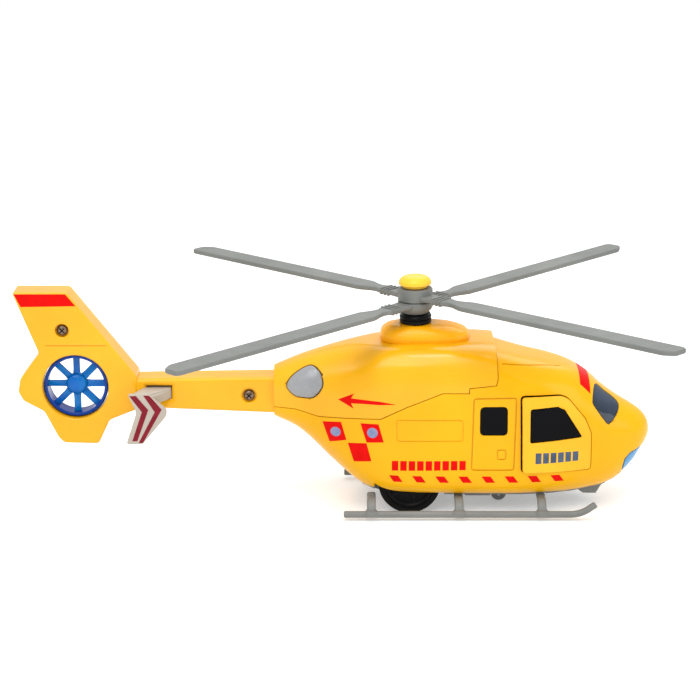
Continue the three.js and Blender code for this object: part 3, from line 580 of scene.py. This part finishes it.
def strokeOutline(points, width):
    # a thin closed outline round an open line
    left, right = [], []
    for i, point in enumerate(points):
        a, b = points[max(i - 1, 0)], points[min(i + 1, len(points) - 1)]
        length = math.hypot(b[0] - a[0], b[1] - a[1])
        nx, nz = -(b[1] - a[1]) / length * width / 2, (b[0] - a[0]) / length * width / 2
        left.append((point[0] + nx, point[1] + nz))
        right.append((point[0] - nx, point[1] - nz))
    return left + right[::-1]


sides = (("Right", -1), ("Left", 1))

# side-view outlines of the hull's panels
cowlingOutline = [(-40, 46.8), (-17, 47.2), (-7, 45), (21, 46), (32.8, 52), (48.5, 58.5), (60.3, 58.5),
    (60.5, 60.8), (72.3, 62), (73, 65.1), (71.7, 100), (-40, 100)]
doorOutline = roundCorners([(83.4, 56.9), (101, 56.8), (104.6, 55), (112.6, 45.2), (115.5, 38.2),
    (115.7, 21.2), (84.1, 21.9)], 1.6, 3)
doorWindowOutline = roundCorners([(87, 51.5), (99.8, 52.1), (102.9, 50.4), (111.4, 36.9), (87.1, 35.7)],
    1.1, 3)
rearWindowOutline = roundCorners([(65.2, 52.4), (77.5, 52.4), (77.6, 39), (65.2, 39.1)], 2.2, 4)
windscreenOutline = smoothLoop([(117.7, 57.7), (116.1, 52.2), (117.2, 49.4), (122.6, 42.0),
    (124.4, 41.6), (127.2, 44.2), (129, 47.2), (128.2, 49.6), (122.4, 54.2)], 3)
noseLensOutline = [(146, 29.4), (141.2, 28.6), (134.4, 26.6), (131.9, 24), (131.1, 20), (131, 8),
    (146, 8)]
buttonOutline = smoothLoop([(-10.6, 67), (-6.6, 65.4), (-5.2, 62.2), (-5.3, 58.6), (-8.9, 54),
    (-14.1, 53.4), (-17.8, 54.1), (-21, 57.9), (-17.6, 63)], 4)
plateOutline = [(13, -13), (18.4, -19.4), (96, -19.4), (104, -16), (124, -8.8), (124, 8.8), (104, 16),
    (96, 19.4), (18.4, 19.4), (13, 13)]
rearDoorOutline = roundCorners([(62.4, 56.2), (81.3, 56.3), (80.6, 22.9), (61.7, 23)], 1.2, 2)
handleOutline = roundCorners([(73.2, 32.4), (76.9, 32.4), (76.9, 28), (73.2, 28)], 0.8, 2)
hatchOutline = roundCorners([(28.3, 46), (57.6, 46.3), (57.7, 36.7), (28.4, 36.2)], 1.2, 2)

# cabin shell: gaps and wall, then the width and depth of each moulded line
panel = {"wall": 1.8, "seam": 0.15, "doorGap": 0.3, "plateGap": 0.3, "lineWidth": 0.6, "lineDepth": 0.5,
    "rearDoor": (0.6, 0.6), "handle": (0.5, 0.5), "hatch": (0.5, 0.3)}
wheelWellOutline = [(18.4, -21.6), (50.2, -21.6), (50.2, 21.6), (18.4, 21.6)]
belowBelt, aboveBelt = 20, 50
markings = {
    "checks": [[(-5, 43), (3.4, 43.6), (5.8, 35.3), (-1.8, 33.3)],
        [(12, 43.7), (20.1, 43.7), (22.5, 35.3), (14.8, 34.8)],
        [(6.4, 34), (14.8, 34.5), (17, 26.1), (9.1, 25.1)]],
    "discs": [(0.9, 38.7, 2.3), (17.4, 39.5, 2.4)],
    "blocks": {"count": 9, "from": 26.1, "to": 60, "low": (22.2, 23), "high": (26.9, 27.4),
        "gap": 0.85},
    "dashes": {"count": 8, "from": 24.8, "pitch": 10.35, "width": 4.1, "low": 16.7, "high": 19.9,
        "lean": 2.2},
    "roofLine": [(75, 20.4), (81, 18.6), (87, 16.4), (94, 13.4), (102, 9.4)],
    "roofBand": [(110.4, -15.6), (115.2, -15.2), (115.2, 15.2), (110.4, 15.6)],
}


def blockRow(look):
    # a row of plain upright blocks, in place of a printed word
    pitch = (look["to"] - look["from"]) / look["count"]
    for i in range(look["count"]):
        left, right = look["from"] + i * pitch, look["from"] + (i + 1) * pitch - look["gap"]
        share = [(x - look["from"]) / (look["to"] - look["from"]) for x in (left, right)]
        low = [look["low"][0] + (look["low"][1] - look["low"][0]) * t for t in share]
        high = [look["high"][0] + (look["high"][1] - look["high"][0]) * t for t in share]
        yield [(left, low[0]), (right, low[1]), (right, high[1]), (left, high[0])]


def dashRow(look):
    for i in range(look["count"]):
        x = look["from"] + i * look["pitch"]
        yield [(x, look["high"]), (x + look["width"], look["high"]),
            (x + look["width"] + look["lean"], look["low"]), (x + look["lean"], look["low"])]


def hullPanels():
    shell = hullMesh()
    cutAway(shell, grown(cowlingOutline, panel["seam"]))
    for _, side in sides:
        for outline in (grown(doorOutline, panel["doorGap"]), rearWindowOutline, windscreenOutline):
            cutAway(shell, outline, side)
        for outline in markings["checks"]:
            paint(shell, outline, 1, side)
        for x, z, radius in markings["discs"]:
            paint(shell, circleLoop(x, z, radius, 20), 2, side)
        for outline in blockRow(markings["blocks"]):
            paint(shell, outline, 1, side)
        for outline in dashRow(markings["dashes"]):
            paint(shell, outline, 1, side)
    paint(shell, markings["roofBand"], 1, plan=True, keep=lambda c: c.z > aboveBelt)
    cutAway(shell, noseLensOutline)
    cutAway(shell, grown(plateOutline, panel["plateGap"]), plan=True, keep=lambda c: c.z < belowBelt)
    cutAway(shell, wheelWellOutline, plan=True, keep=lambda c: c.z < belowBelt)
    for _, side in sides:
        groove(shell, rearDoorOutline, side, *panel["rearDoor"])
        groove(shell, handleOutline, side, *panel["handle"])
        groove(shell, hatchOutline, side, *panel["hatch"])
        line = strokeOutline([(x, side * y) for x, y in markings["roofLine"]], panel["lineWidth"])
        splitAlong(shell, line, side, plan=True)
        sink(shell, facesWithin(shell, line, side, plan=True, keep=lambda c: c.z > aboveBelt),
            panel["lineDepth"])
    finishPiece("hullShell", shell, "fuselage", ["hullAbs", "redInk", "discInk", "hullAbs"],
        ["cabin_shell"], wall=panel["wall"], rim=0.15, merge=0.05)


hullPanels()
print("cabin shell made")


# cowling, boom and fin
tail = {
    "half": 7.4, "seam": 0.06, "wall": 3.0, "finEdge": 0.9, "boomEdge": 1.6, "screwWell": 3,
    "lineWidth": 0.5, "lineDepth": 0.35, "buttonGap": 0.45, "mast": (37, 0, 2.1), "fanX": -116.7,
    "fanZ": 55.7, "fanHole": 14.9,
    "screws": [(-121.9, 82.1), (-38.3, 51.6)],
    "fin": [(-143.7, 99.7), (-119.3, 99.7), (-88.6, 60.6), (-88.8, 45.4), (-101.6, 40.2), (-106.9, 29),
        (-122.4, 29.4), (-125, 31.8), (-131.2, 44.3), (-140.4, 49.3), (-142.6, 53.5), (-141.5, 59.5),
        (-132.6, 71.6)],
    "boomHalf": 7.1,
    "boom": [(-91, 59.4), (-91, 46.1), (-22, 43.2), (-22, 60.5)],
    "slot": [(-84.7, 56.2), (-73.3, 56.2), (-73.3, 50.2), (-77.2, 50.2), (-77.2, 53.2), (-84.7, 53.2)],
    "finLine": [(-129.5, 75.3), (-102, 75.3)],
    "stripe": [(-142.8, 99.1), (-119.8, 99.1), (-115.3, 93.6), (-139.9, 93.2)],
    "arrow": [(2, 54), (9.3, 57.2), (7.9, 54.9), (13.5, 54.6), (20.5, 54.2), (28.3, 53.1), (20.5, 52.6),
        (13.5, 52.7), (7.9, 52.6), (9, 50.2)],
}


def cutOnMiddle(mesh, side):
    # keeps one side of the middle plane, and returns the cut edges
    everything = mesh.verts[:] + mesh.edges[:] + mesh.faces[:]
    made = bmesh.ops.bisect_plane(mesh, geom=everything, dist=0.0005,
        plane_co=(0, side * tail["seam"], 0), plane_no=(0, -side, 0), clear_outer=True)
    return [e for e in made["geom_cut"] if isinstance(e, bmesh.types.BMEdge)]


def tailHalf(label, side):
    half = hullMesh(cowlingStations, rings=110)
    keepOnly(half, grown(cowlingOutline, -panel["seam"]))
    cutOnMiddle(half, side)
    cutAway(half, grown(buttonOutline, tail["buttonGap"]), side)
    cutAway(half, circleLoop(*tail["mast"], 24), plan=True)
    if side < 0:
        paint(half, tail["arrow"], 1, side)
    finishPiece("cowling" + label, half, "fuselage", ["cowlingAbs", "redInk", "cowlingAbs"],
        ["cowling_" + label.lower()], wall=tail["wall"], rim=0.15, merge=0.05)

    # the boom and the fin: plates cut down the middle, with the fan's tunnel and two screw wells
    outline = roundCorners(tail["fin"], 1.2, 3)
    wells = [circleLoop(x, z, tail["screwWell"], 28) for x, z in tail["screws"]]
    fin = sidePlate([outline, circleLoop(tail["fanX"], tail["fanZ"], tail["fanHole"], 72), wells[0]],
        -tail["half"], tail["half"], tail["finEdge"], 3)
    boom = sidePlate([roundCorners(tail["boom"], 2.4, 4), wells[1], tail["slot"]], -tail["boomHalf"],
        tail["boomHalf"], tail["boomEdge"], 4)
    for part in (fin, boom):
        bmesh.ops.triangle_fill(part, use_beauty=True, edges=cutOnMiddle(part, side))
        bmesh.ops.recalc_face_normals(part, faces=part.faces)
    paint(fin, tail["stripe"], 1, side)
    line = strokeOutline(tail["finLine"], tail["lineWidth"])
    splitAlong(fin, line, side)
    sink(fin, facesWithin(fin, line, side, keep=lambda c: abs(c.y) > tail["half"] - 0.1),
        tail["lineDepth"])
    absorb(fin, boom)
    for x, z in tail["screws"]:
        floor = turnedMesh([(0, 0), (3.1, 0), (3.1, 0.6), (0, 0.6), (0, 0)], "Y",
            (x, side * (tail["half"] - 2.6) - 0.3, z), 28)
        absorb(fin, floor)
    finishPiece("tailBoom" + label, fin, "fuselage", ["cowlingAbs", "redInk"],
        ["cowling_" + label.lower()])


for label, side in sides:
    tailHalf(label, side)
print("cowling, boom and fin made")

# doors
doorPrint = {"count": 6, "from": 89.7, "to": 110.3, "low": (26, 26.2), "high": (31.1, 30.6),
    "gap": 0.75}
door = {"hinge": (114.6, 19.9), "ajar": 4, "wall": 1.8, "rim": 0.18, "merge": 0.08}
# panes sit below the hull's face by "drop" and clear their openings by "gap"
glass = {"doorDrop": 0.5, "doorGap": 0.1, "drop": 0.4, "gap": 0.08, "wall": 1.0, "rim": 0.15}
lensCover = {"drop": 0.5, "gap": 0.6, "wall": 1.6, "rim": 0.2}


def frontDoor(label, side):
    leaf = hullMesh(rings=200, quarter=40)
    keepOnly(leaf, doorOutline, side)
    cutAway(leaf, doorWindowOutline, side)
    for outline in blockRow(doorPrint):
        paint(leaf, outline, 1, side)
    glazing = hullMesh(grow=-glass["doorDrop"], rings=200, quarter=40)
    keepOnly(glazing, grown(doorWindowOutline, -glass["doorGap"]), side)
    for part in (leaf, glazing):
        if side < 0:
            turnMesh(part, door["ajar"], "Z", (door["hinge"][0], -door["hinge"][1], 0))
    body = "front_door_" + label.lower()
    # the door's finish is its own paler yellow plus painted sheen
    finishPiece("frontDoor" + label, leaf, body, ["doorAbsAndSheen", "slateInk", "doorAbsAndSheen"], [body],
        wall=door["wall"], rim=door["rim"], merge=door["merge"])
    finishPiece("doorGlazing" + label, glazing, body, ["smokedGlazing"],
        ["door_window_" + label.lower()], wall=glass["wall"], merge=0.05)


for label, side in sides:
    frontDoor(label, side)
print("doors made")


# windows and the nose lamp cover
for label, side in sides:
    for title, outline in (("windscreen", windscreenOutline), ("rearWindow", rearWindowOutline)):
        pane = hullMesh(grow=-glass["drop"], rings=200, quarter=40)
        keepOnly(pane, grown(outline, -glass["gap"]), side)
        front = title == "windscreen"
        node = ("windscreen_" if front else "rear_window_") + label.lower()
        finishPiece(title + label, pane, "fuselage", ["tintedScreen" if front else "smokedGlazing"],
            [node], wall=glass["wall"], rim=glass["rim"], merge=0.05)
lens = hullMesh(grow=-lensCover["drop"], rings=200)
keepOnly(lens, grown(noseLensOutline, -lensCover["gap"]))
finishPiece("noseLens", lens, "fuselage", ["lensPolystyrene"], ["nose_lens"],
    wall=lensCover["wall"], rim=lensCover["rim"], merge=0.05)
print("windows made")

# mast fairing: levels of height, rear end, front end and half width, with square-shouldered rounds
fairing = {"rings": 60, "around": 96, "squareness": 0.62}
fairingLevels = [(70, 22.4, 60, 11.4), (76.6, 22, 60.4, 11.6), (77.2, 21.3, 61, 11.9),
    (79.2, 20.9, 61.3, 12.1), (80.4, 21.1, 60.9, 11.8), (81.6, 21.7, 59.4, 11.2),
    (82.6, 22.7, 57, 10.3), (83.5, 24.2, 53.8, 9), (84.1, 26, 50.4, 7.2), (84.3, 28, 48, 5.4),
    (84.35, 33, 42, 1.5)]


def fairingPlace(i, k):
    t = i / fairing["rings"] * (len(fairingLevels) - 1)
    n = min(int(t), len(fairingLevels) - 2)
    levels = zip(fairingLevels[n], fairingLevels[n + 1])
    z, rear, front, halfWidth = [a + (b - a) * (t - n) for a, b in levels]
    angle = 2 * math.pi * k / fairing["around"]
    c, s = math.cos(angle), math.sin(angle)
    x = (rear + front) / 2 + math.copysign(abs(c) ** fairing["squareness"], c) * (front - rear) / 2
    return (x, math.copysign(abs(s) ** fairing["squareness"], s) * halfWidth, z)


finishPiece("mastFairing", wrapMesh(fairing["rings"], fairing["around"], fairingPlace), "fuselage",
    ["fairingAbs"], ["mast_fairing"], smoothAngle=50)

# main rotor: built upright about the mast, then leaned back with it
rotor = {"x": 37, "z": 84, "lean": 1.2, "yaw": 45.3, "radius": 146.4, "chord": 11, "thickness": 2.2,
    "bore": 1.8, "ribs": (13.6, 15.8, 18), "lowerBar": 9.2, "upperBar": 12.6}


def ontoMast(mesh):
    turnMesh(mesh, -rotor["lean"], "Y")
    return moveMesh(mesh, (rotor["x"], 0, rotor["z"]))


def bladeBar(height, hub, yaw):
    reach, halfChord = rotor["radius"], rotor["chord"] / 2
    half = [(7, -4.6), (12.4, -3.9), (19.6, -3.9), (22, -2.9), (25, -3.2), (31, -halfChord),
        (reach - 5, -halfChord), (reach, -halfChord + 3.2), (reach, halfChord - 1.4),
        (reach - 2, halfChord), (31, halfChord), (25, 3.2), (22, 2.9), (19.6, 3.9), (12.4, 3.9),
        (7, 4.6)]
    outline = roundCorners(half + [(-x, -y) for x, y in half], 1.4, 3)
    bar = moveMesh(plateMesh([outline, circleLoop(0, 0, rotor["bore"], 24)], rotor["thickness"], 0.7,
        3), (0, 0, height))
    for sign in (-1, 1):
        for x in rotor["ribs"]:
            absorb(bar, blockMesh((sign * x - 0.5, -3.9, height - 1.6),
                (sign * x + 0.5, 3.9, height + 1.6), 0.3))
    absorb(bar, turnedMesh(hub, "Z", steps=64))
    return ontoMast(turnMesh(bar, yaw, "Z"))


lowerHub = [(1.8, 4.9), (5.2, 4.9), (5.7, 5.1), (7.4, 6.9), (7.9, 7.9), (7.9, 10.1), (7.5, 10.5),
    (1.8, 10.5), (1.8, 4.9)]
upperHub = [(1.8, 10.8), (7.6, 10.8), (7.9, 11.1), (7.9, 15.8), (7.6, 16.3), (7, 16.5), (1.8, 16.5),
    (1.8, 10.8)]
finishPiece("rotorBarLower", bladeBar(rotor["lowerBar"], lowerHub, rotor["yaw"]), "main_rotor",
    ["rotorPp"], ["rotor_bar_lower"])
finishPiece("rotorBarUpper", bladeBar(rotor["upperBar"], upperHub, rotor["yaw"] - 90), "main_rotor",
    ["rotorPp"], ["rotor_bar_upper"])
collarProfile = [(1.8, 0.6), (6.9, 0.6), (7.2, 0.9), (7.2, 2.2), (6.6, 2.5), (6.6, 2.9), (7.2, 3.2),
    (7.2, 3.7), (6.8, 4.2), (6.8, 4.6), (1.8, 4.6), (1.8, 0.6)]
finishPiece("rotorCollar", ontoMast(turnedMesh(collarProfile)), "main_rotor", ["blackAbsAndSlotShade"],
    ["rotor_collar"])
capProfile = [(0, 16.8), (5.4, 16.8), (5.6, 17), (5.6, 17.9), (7, 18), (7.35, 18.3), (7.35, 19.4),
    (7.1, 20), (6.4, 20.9), (5.6, 21.5), (4.4, 21.9), (2.4, 22), (0, 22)]
finishPiece("rotorCap", ontoMast(turnedMesh(capProfile, steps=72)), "main_rotor", ["capAbs"],
    ["rotor_cap"], smoothAngle=45)
print("rotor made")

# tail fan
fan = {"vanes": 8, "pitch": 66, "thickness": 1.1, "halfWidth": 1.6}
ringProfile = [(12.9, -4.2), (13.3, -4.5), (14, -4.6), (14.4, -4.3), (14.5, -3.8), (14.5, 3.8),
    (14.4, 4.3), (14, 4.6), (13.3, 4.5), (12.9, 4.2), (12.9, -4.2)]
hubProfile = [(0, -2.9), (2.4, -2.8), (3.8, -2.4), (4.7, -1.6), (4.9, -0.8), (4.9, 0.8), (4.7, 1.6),
    (3.8, 2.4), (2.4, 2.8), (0, 2.9)]
fanAt = (tail["fanX"], 0, tail["fanZ"])
blades = turnedMesh(hubProfile, "Y", fanAt, 48)
for i in range(fan["vanes"]):
    outline = [(3, -2), (6.5, -fan["halfWidth"]), (13.4, -fan["halfWidth"]), (13.4, fan["halfWidth"]),
        (6.5, fan["halfWidth"]), (3, 2)]
    blade = plateMesh([roundCorners(outline, 0.3, 2)], fan["thickness"], 0.35)
    turnMesh(turnMesh(blade, fan["pitch"], "X"), 360 / fan["vanes"] * i, "Y")
    absorb(blades, moveMesh(blade, fanAt))
finishPiece("fanBlades", blades, "tail_fan", ["fanPolystyrene"], ["tail_fan"])
finishPiece("fanRing", turnedMesh(ringProfile, "Y", fanAt, 96), "tail_fan", ["rimPolystyrene"],
    ["tail_fan"])

# stabiliser
stabiliser = {
    "skin": 1.7, "skinZ": 54.55, "webThickness": 4.4, "webZ": 52.4, "plateY": 17.5,
    "plateHalf": 0.8,
    "plan": [(-73.4, -6), (-83, -17.8), (-91, -17.8), (-86, -6), (-86, 6), (-91, 17.8), (-83, 17.8),
        (-73.4, 6)],
    "web": [(-73.4, -6), (-80.6, -17), (-83.6, -17), (-76.2, -6)],
    "plate": [(-92.1, 55.7), (-83, 55.8), (-74.6, 48.6), (-75, 45.4), (-86, 32.2), (-93.2, 32.2),
        (-88.3, 47)],
    "chevrons": [[(-91.3, 54.9), (-88.3, 55), (-82.9, 48.4), (-88.2, 33.7), (-90.5, 33.7),
        (-85.9, 47.4)], [(-85.1, 55.2), (-82.3, 55.2), (-76.9, 48.6), (-85.7, 32.8), (-87.6, 33),
        (-80.1, 47.4)]],
}
tailplane = moveMesh(plateMesh([roundCorners(stabiliser["plan"], 1.2, 3)], stabiliser["skin"], 0.6),
    (0, 0, stabiliser["skinZ"]))
for _, side in sides:
    web = plateMesh([[(x, -side * y) for x, y in stabiliser["web"]]], stabiliser["webThickness"], 0.5)
    absorb(tailplane, moveMesh(web, (0, 0, stabiliser["webZ"])))
    y = side * stabiliser["plateY"]
    plate = sidePlate([roundCorners(stabiliser["plate"], 1.2, 3)], y - stabiliser["plateHalf"],
        y + stabiliser["plateHalf"], 0.4)
    for outline in stabiliser["chevrons"]:
        paint(plate, outline, 1, side, keep=lambda c: abs(c.y) > stabiliser["plateY"] + 0.7)
    absorb(tailplane, plate)
finishPiece("tailStabiliser", tailplane, "fuselage", ["finPlastic", "maroonInk"], ["tail_stabiliser"])
print("tail made")


# button and exhaust
button = {"centre": (-12.4, 60.2), "proud": 2.1, "skirt": 2.6, "rows": 16}


def pebble(side):
    # a domed plug on the button's outline, with its skirt going down into the cowling
    centre, rows = button["centre"], button["rows"]

    def place(i, k):
        edge = buttonOutline[k]
        if i <= 2:
            return onHull(edge[0], edge[1], side, button["skirt"] * (i / 2 - 1), cowlingStations)
        share = math.cos((i - 2) / (rows - 2) * math.pi / 2)
        x, z = centre[0] + (edge[0] - centre[0]) * share, centre[1] + (edge[1] - centre[1]) * share
        return onHull(x, z, side, button["proud"] * (1 - share ** 2.4) ** 0.5, cowlingStations)

    return wrapMesh(rows, len(buttonOutline), place)


finishPiece("soundButton", pebble(-1), "push_button", ["buttonLacquer"], ["push_button"],
    smoothAngle=60)
finishPiece("exhaustCap", pebble(1), "fuselage", ["buttonLacquer"], ["exhaust_cap_left"],
    smoothAngle=60)

# skids
skid = {"y": 29.4, "z": 2.9, "radius": 1.55, "struts": (17, 56.4, 93.6), "strutWidth": 4,
    "bend": (106, 111.6, 115.2), "tipRise": 3.2}
path = [(4.6, 0.9), (4.8, 1.35), (5.3, skid["radius"])] + [(x, skid["radius"])
    for x in (20, 40, 60, 80, 100, 106)]
strutSide = [(16.8, 9.4), (16.8, 7.1), (23.6, 6.9), (26.9, 5), (28.3, 2.6), (30.2, 2.6), (30.2, 4.6),
    (28.6, 7.2), (25.4, 9.1), (20, 8.9), (19.2, 9.4)]
for label, side in sides:
    points = [(x, side * skid["y"], skid["z"]) for x, _ in path]
    radii = [r for _, r in path]
    for k in range(1, 9):
        t = k / 8
        start, middle, end = skid["bend"]
        x = start * (1 - t) ** 2 + 2 * middle * t * (1 - t) + end * t * t
        z = skid["z"] + 0.2 * t * (1 - t) + skid["tipRise"] * t * t
        points.append((x, side * skid["y"], z))
        radii.append(skid["radius"])
    points += [(117.2, side * skid["y"], 7.45), (117.5, side * skid["y"], 7.7)]
    radii += [1.5, 1.0]
    rail = tubeMesh(points, radii, 24)
    for x in skid["struts"]:
        strut = plateMesh([roundCorners([(side * y, z) for y, z in strutSide], 1.3, 4)],
            skid["strutWidth"], 1.0, 4)
        turnMesh(turnMesh(strut, 90, "X"), 90, "Z")
        absorb(rail, moveMesh(strut, (x, 0, 0)))
        absorb(rail, blockMesh((x - 2.6, side * skid["y"] - 1.9, 1.7),
            (x + 2.6, side * skid["y"] + 1.9, 4.9), 0.7))
    finishPiece("skid" + label, rail, "fuselage", ["skidAbs"], ["skid_" + label.lower()])
print("skids made")

# wheels
wheel = {"x": 34.3, "z": 14, "outer": 20.7, "spokes": 5}
roller = {"x": 75.8, "z": 3.5}
tyreProfile = [(11.2, 0.2), (12.6, 0.2), (13.2, 0.5), (13.8, 1.1), (14, 1.9), (14, 5.5), (13.8, 6.3),
    (13.2, 6.9), (12.6, 7.2), (11.2, 7.2), (11.2, 0.2)]
rimProfile = [(1.8, 0.3), (2.8, 0.2), (3.4, 0.6), (3.7, 1.5), (8.9, 1.5), (9.5, 0.8), (10, 0.4),
    (10.9, 0.4), (10.9, 7.1), (9.6, 7.1), (9.4, 5), (3.2, 5), (3.2, 6.4), (1.8, 6.4), (1.8, 0.3)]
for label, side in sides:
    at = (wheel["x"], -wheel["outer"], wheel["z"])
    tyre, rim = turnedMesh(tyreProfile, "Y", at, 72), turnedMesh(rimProfile, "Y", at, 64)
    for i in range(wheel["spokes"]):
        spoke = blockMesh((3.2, -20, -0.8), (9.6, -18.6, 0.8), 0.3)
        turnMesh(spoke, 360 / wheel["spokes"] * i, "Y")
        absorb(rim, moveMesh(spoke, (wheel["x"], 0, wheel["z"])))
    for part in (tyre, rim):
        if side > 0:
            bmesh.ops.scale(part, vec=(1, -1, 1), verts=part.verts)
            bmesh.ops.reverse_faces(part, faces=part.faces)
    finishPiece("rearTyre" + label, tyre, "rear_axle_set", ["tyrePvc"], ["rear_tyre_" + label.lower()])
    finishPiece("rearWheel" + label, rim, "rear_axle_set", ["blackAbsAndSlotShade"],
        ["rear_wheel_" + label.lower()])
rollerProfile = [(0.95, -2.4), (2.9, -2.4), (3.3, -2.2), (3.5, -1.8), (3.5, 1.8), (3.3, 2.2),
    (2.9, 2.4), (0.95, 2.4), (0.95, -2.4)]
finishPiece("frontRoller", turnedMesh(rollerProfile, "Y", (roller["x"], 0, roller["z"]), 48),
    "front_wheel", ["skidAbs"], ["front_wheel"])


# screws
screwProfile = [(0, 1.55), (0.9, 1.5), (1.7, 1.25), (2.3, 0.8), (2.5, 0.3), (2.5, 0), (1.1, 0),
    (1.1, -8), (0.4, -9), (0, -9)]


def panScrew(name, x, z, node):
    # a pan head down in its well; its cross slot is drawn as black bars just proud of the dome, painted
    # shade in place of a recess
    depth = tail["half"] - 2.2
    head = turnedMesh(screwProfile, "Y", (0, 0, 0), 32)
    # the slot's black is painted shade: two thin black bars cross the head instead of a cut
    for angle in (45, 135):
        arm = turnMesh(blockMesh((-1.5, 1.2, -0.28), (1.5, 1.62, 0.28), 0.05, 1), angle, "Y")
        for face in arm.faces:
            face.material_index = 1
        absorb(head, arm)
    bmesh.ops.scale(head, vec=(1, -1, 1), verts=head.verts)
    bmesh.ops.reverse_faces(head, faces=head.faces)
    finishPiece(name, moveMesh(head, (x, -depth - 0.2, z)), "fuselage", ["wornScrewSteel", "blackAbsAndSlotShade"],
        [node])


panScrew("finScrew", *tail["screws"][0], "fin_screw")
panScrew("boomScrew", *tail["screws"][1], "boom_screw")
print("small parts made")

# CAD nodes that keep their shape
keptNodes = {
    "skidAbs": ["base_plate", "battery_cover"],
    "charcoalAbs": ["interior_tub", "seat_right", "seat_left", "friction_motor_case", "tact_switch",
        "speaker"],
    "blackAbsAndSlotShade": ["axle_gear", "switch_plunger"],
    "zincSteel": ["battery_cover_screw", "rear_axle", "front_axle", "rotor_shaft", "rotor_screw",
        "shaft_clip"],
    "turnedBrass": ["flywheel"],
    "boardLacquer": ["circuit_board"],
    "nickelSteel": ["battery_cell_1", "battery_cell_2", "battery_cell_3"],
    "ledEpoxy": ["nose_led"],
}
for finish, nodes in keptNodes.items():
    for node in nodes:
        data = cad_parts[node].data
        data.materials.clear()
        data.materials.append(finishes[finish])
print("CAD nodes finished")

# floor, light and camera
studio = {"floor": "#E4E4E3", "floorSize": 8, "glow": 0.3, "zenith": 0.9, "horizon": 0.8, "key": 9,
    "fill": 3, "rim": 3, "strip": 1.5}
floorMesh = bmesh.new()
bmesh.ops.create_grid(floorMesh, x_segments=1, y_segments=1, size=studio["floorSize"])
floorData = bpy.data.meshes.new("floor")
floorMesh.to_mesh(floorData)
floorMesh.free()
floor = bpy.data.objects.new("floor", floorData)
scene.collection.objects.link(floor)
floorFinish = bpy.data.materials.new("floorPaper")
floorFinish.use_nodes = True
floorShader = floorFinish.node_tree.nodes["Principled BSDF"]
floorShader.inputs["Base Color"].default_value = linearColor(studio["floor"])
floorShader.inputs["Roughness"].default_value = 0.9
floorShader.inputs["Specular IOR Level"].default_value = 0.1
# the sweep is lit from below as on a product table, which lifts the belly and thins the shadow
floorShader.inputs["Emission Color"].default_value = (1, 1, 1, 1)
floorShader.inputs["Emission Strength"].default_value = studio["glow"]
floorData.materials.append(floorFinish)

world = bpy.data.worlds.new("studio")
world.use_nodes = True
sky = world.node_tree
skyPlace = addNode(sky, "ShaderNodeTexCoord").outputs["Generated"]
skyHeight = addNode(sky, "ShaderNodeSeparateXYZ", links={"Vector": skyPlace}).outputs["Z"]
skyLevel = addNode(sky, "ShaderNodeMapRange", {"To Min": studio["horizon"], "To Max": studio["zenith"]},
    {"Value": skyHeight})
sky.links.new(skyLevel.outputs["Result"], sky.nodes["Background"].inputs["Strength"])
sky.nodes["Background"].inputs["Color"].default_value = (1, 1, 1, 1)
scene.world = world
scene.view_settings.view_transform = "Standard"


def softLight(name, spot, size, power, target=(0, 0, 0.04)):
    lamp = bpy.data.lights.new(name, "AREA")
    lamp.shape, lamp.size, lamp.energy = "SQUARE", size, power
    holder = bpy.data.objects.new(name, lamp)
    holder.location = spot
    holder.rotation_euler = (Vector(target) - Vector(spot)).to_track_quat("-Z", "Y").to_euler()
    scene.collection.objects.link(holder)


softLight("keyLight", (-0.3, -0.7, 1.1), 0.9, studio["key"])
softLight("fillLight", (0.9, -0.6, 0.5), 0.7, studio["fill"])
softLight("stripLight", (0.05, -0.12, 0.9), 0.22, studio["strip"])
softLight("rimLight", (0.2, 0.9, 0.9), 0.8, studio["rim"])

view = {"lens": 110.5, "sensor": 36, "spot": (0.0074, -0.9376, 0.3332), "lookDown": 15.61}
cameraData = bpy.data.cameras.new("camera")
cameraData.lens, cameraData.sensor_width = view["lens"], view["sensor"]
cameraData.clip_start, cameraData.clip_end = 0.05, 30
camera = bpy.data.objects.new("camera", cameraData)
camera.location = view["spot"]
camera.rotation_euler = (math.radians(90 - view["lookDown"]), 0, 0)
scene.collection.objects.link(camera)
scene.camera = camera
print("studio made")
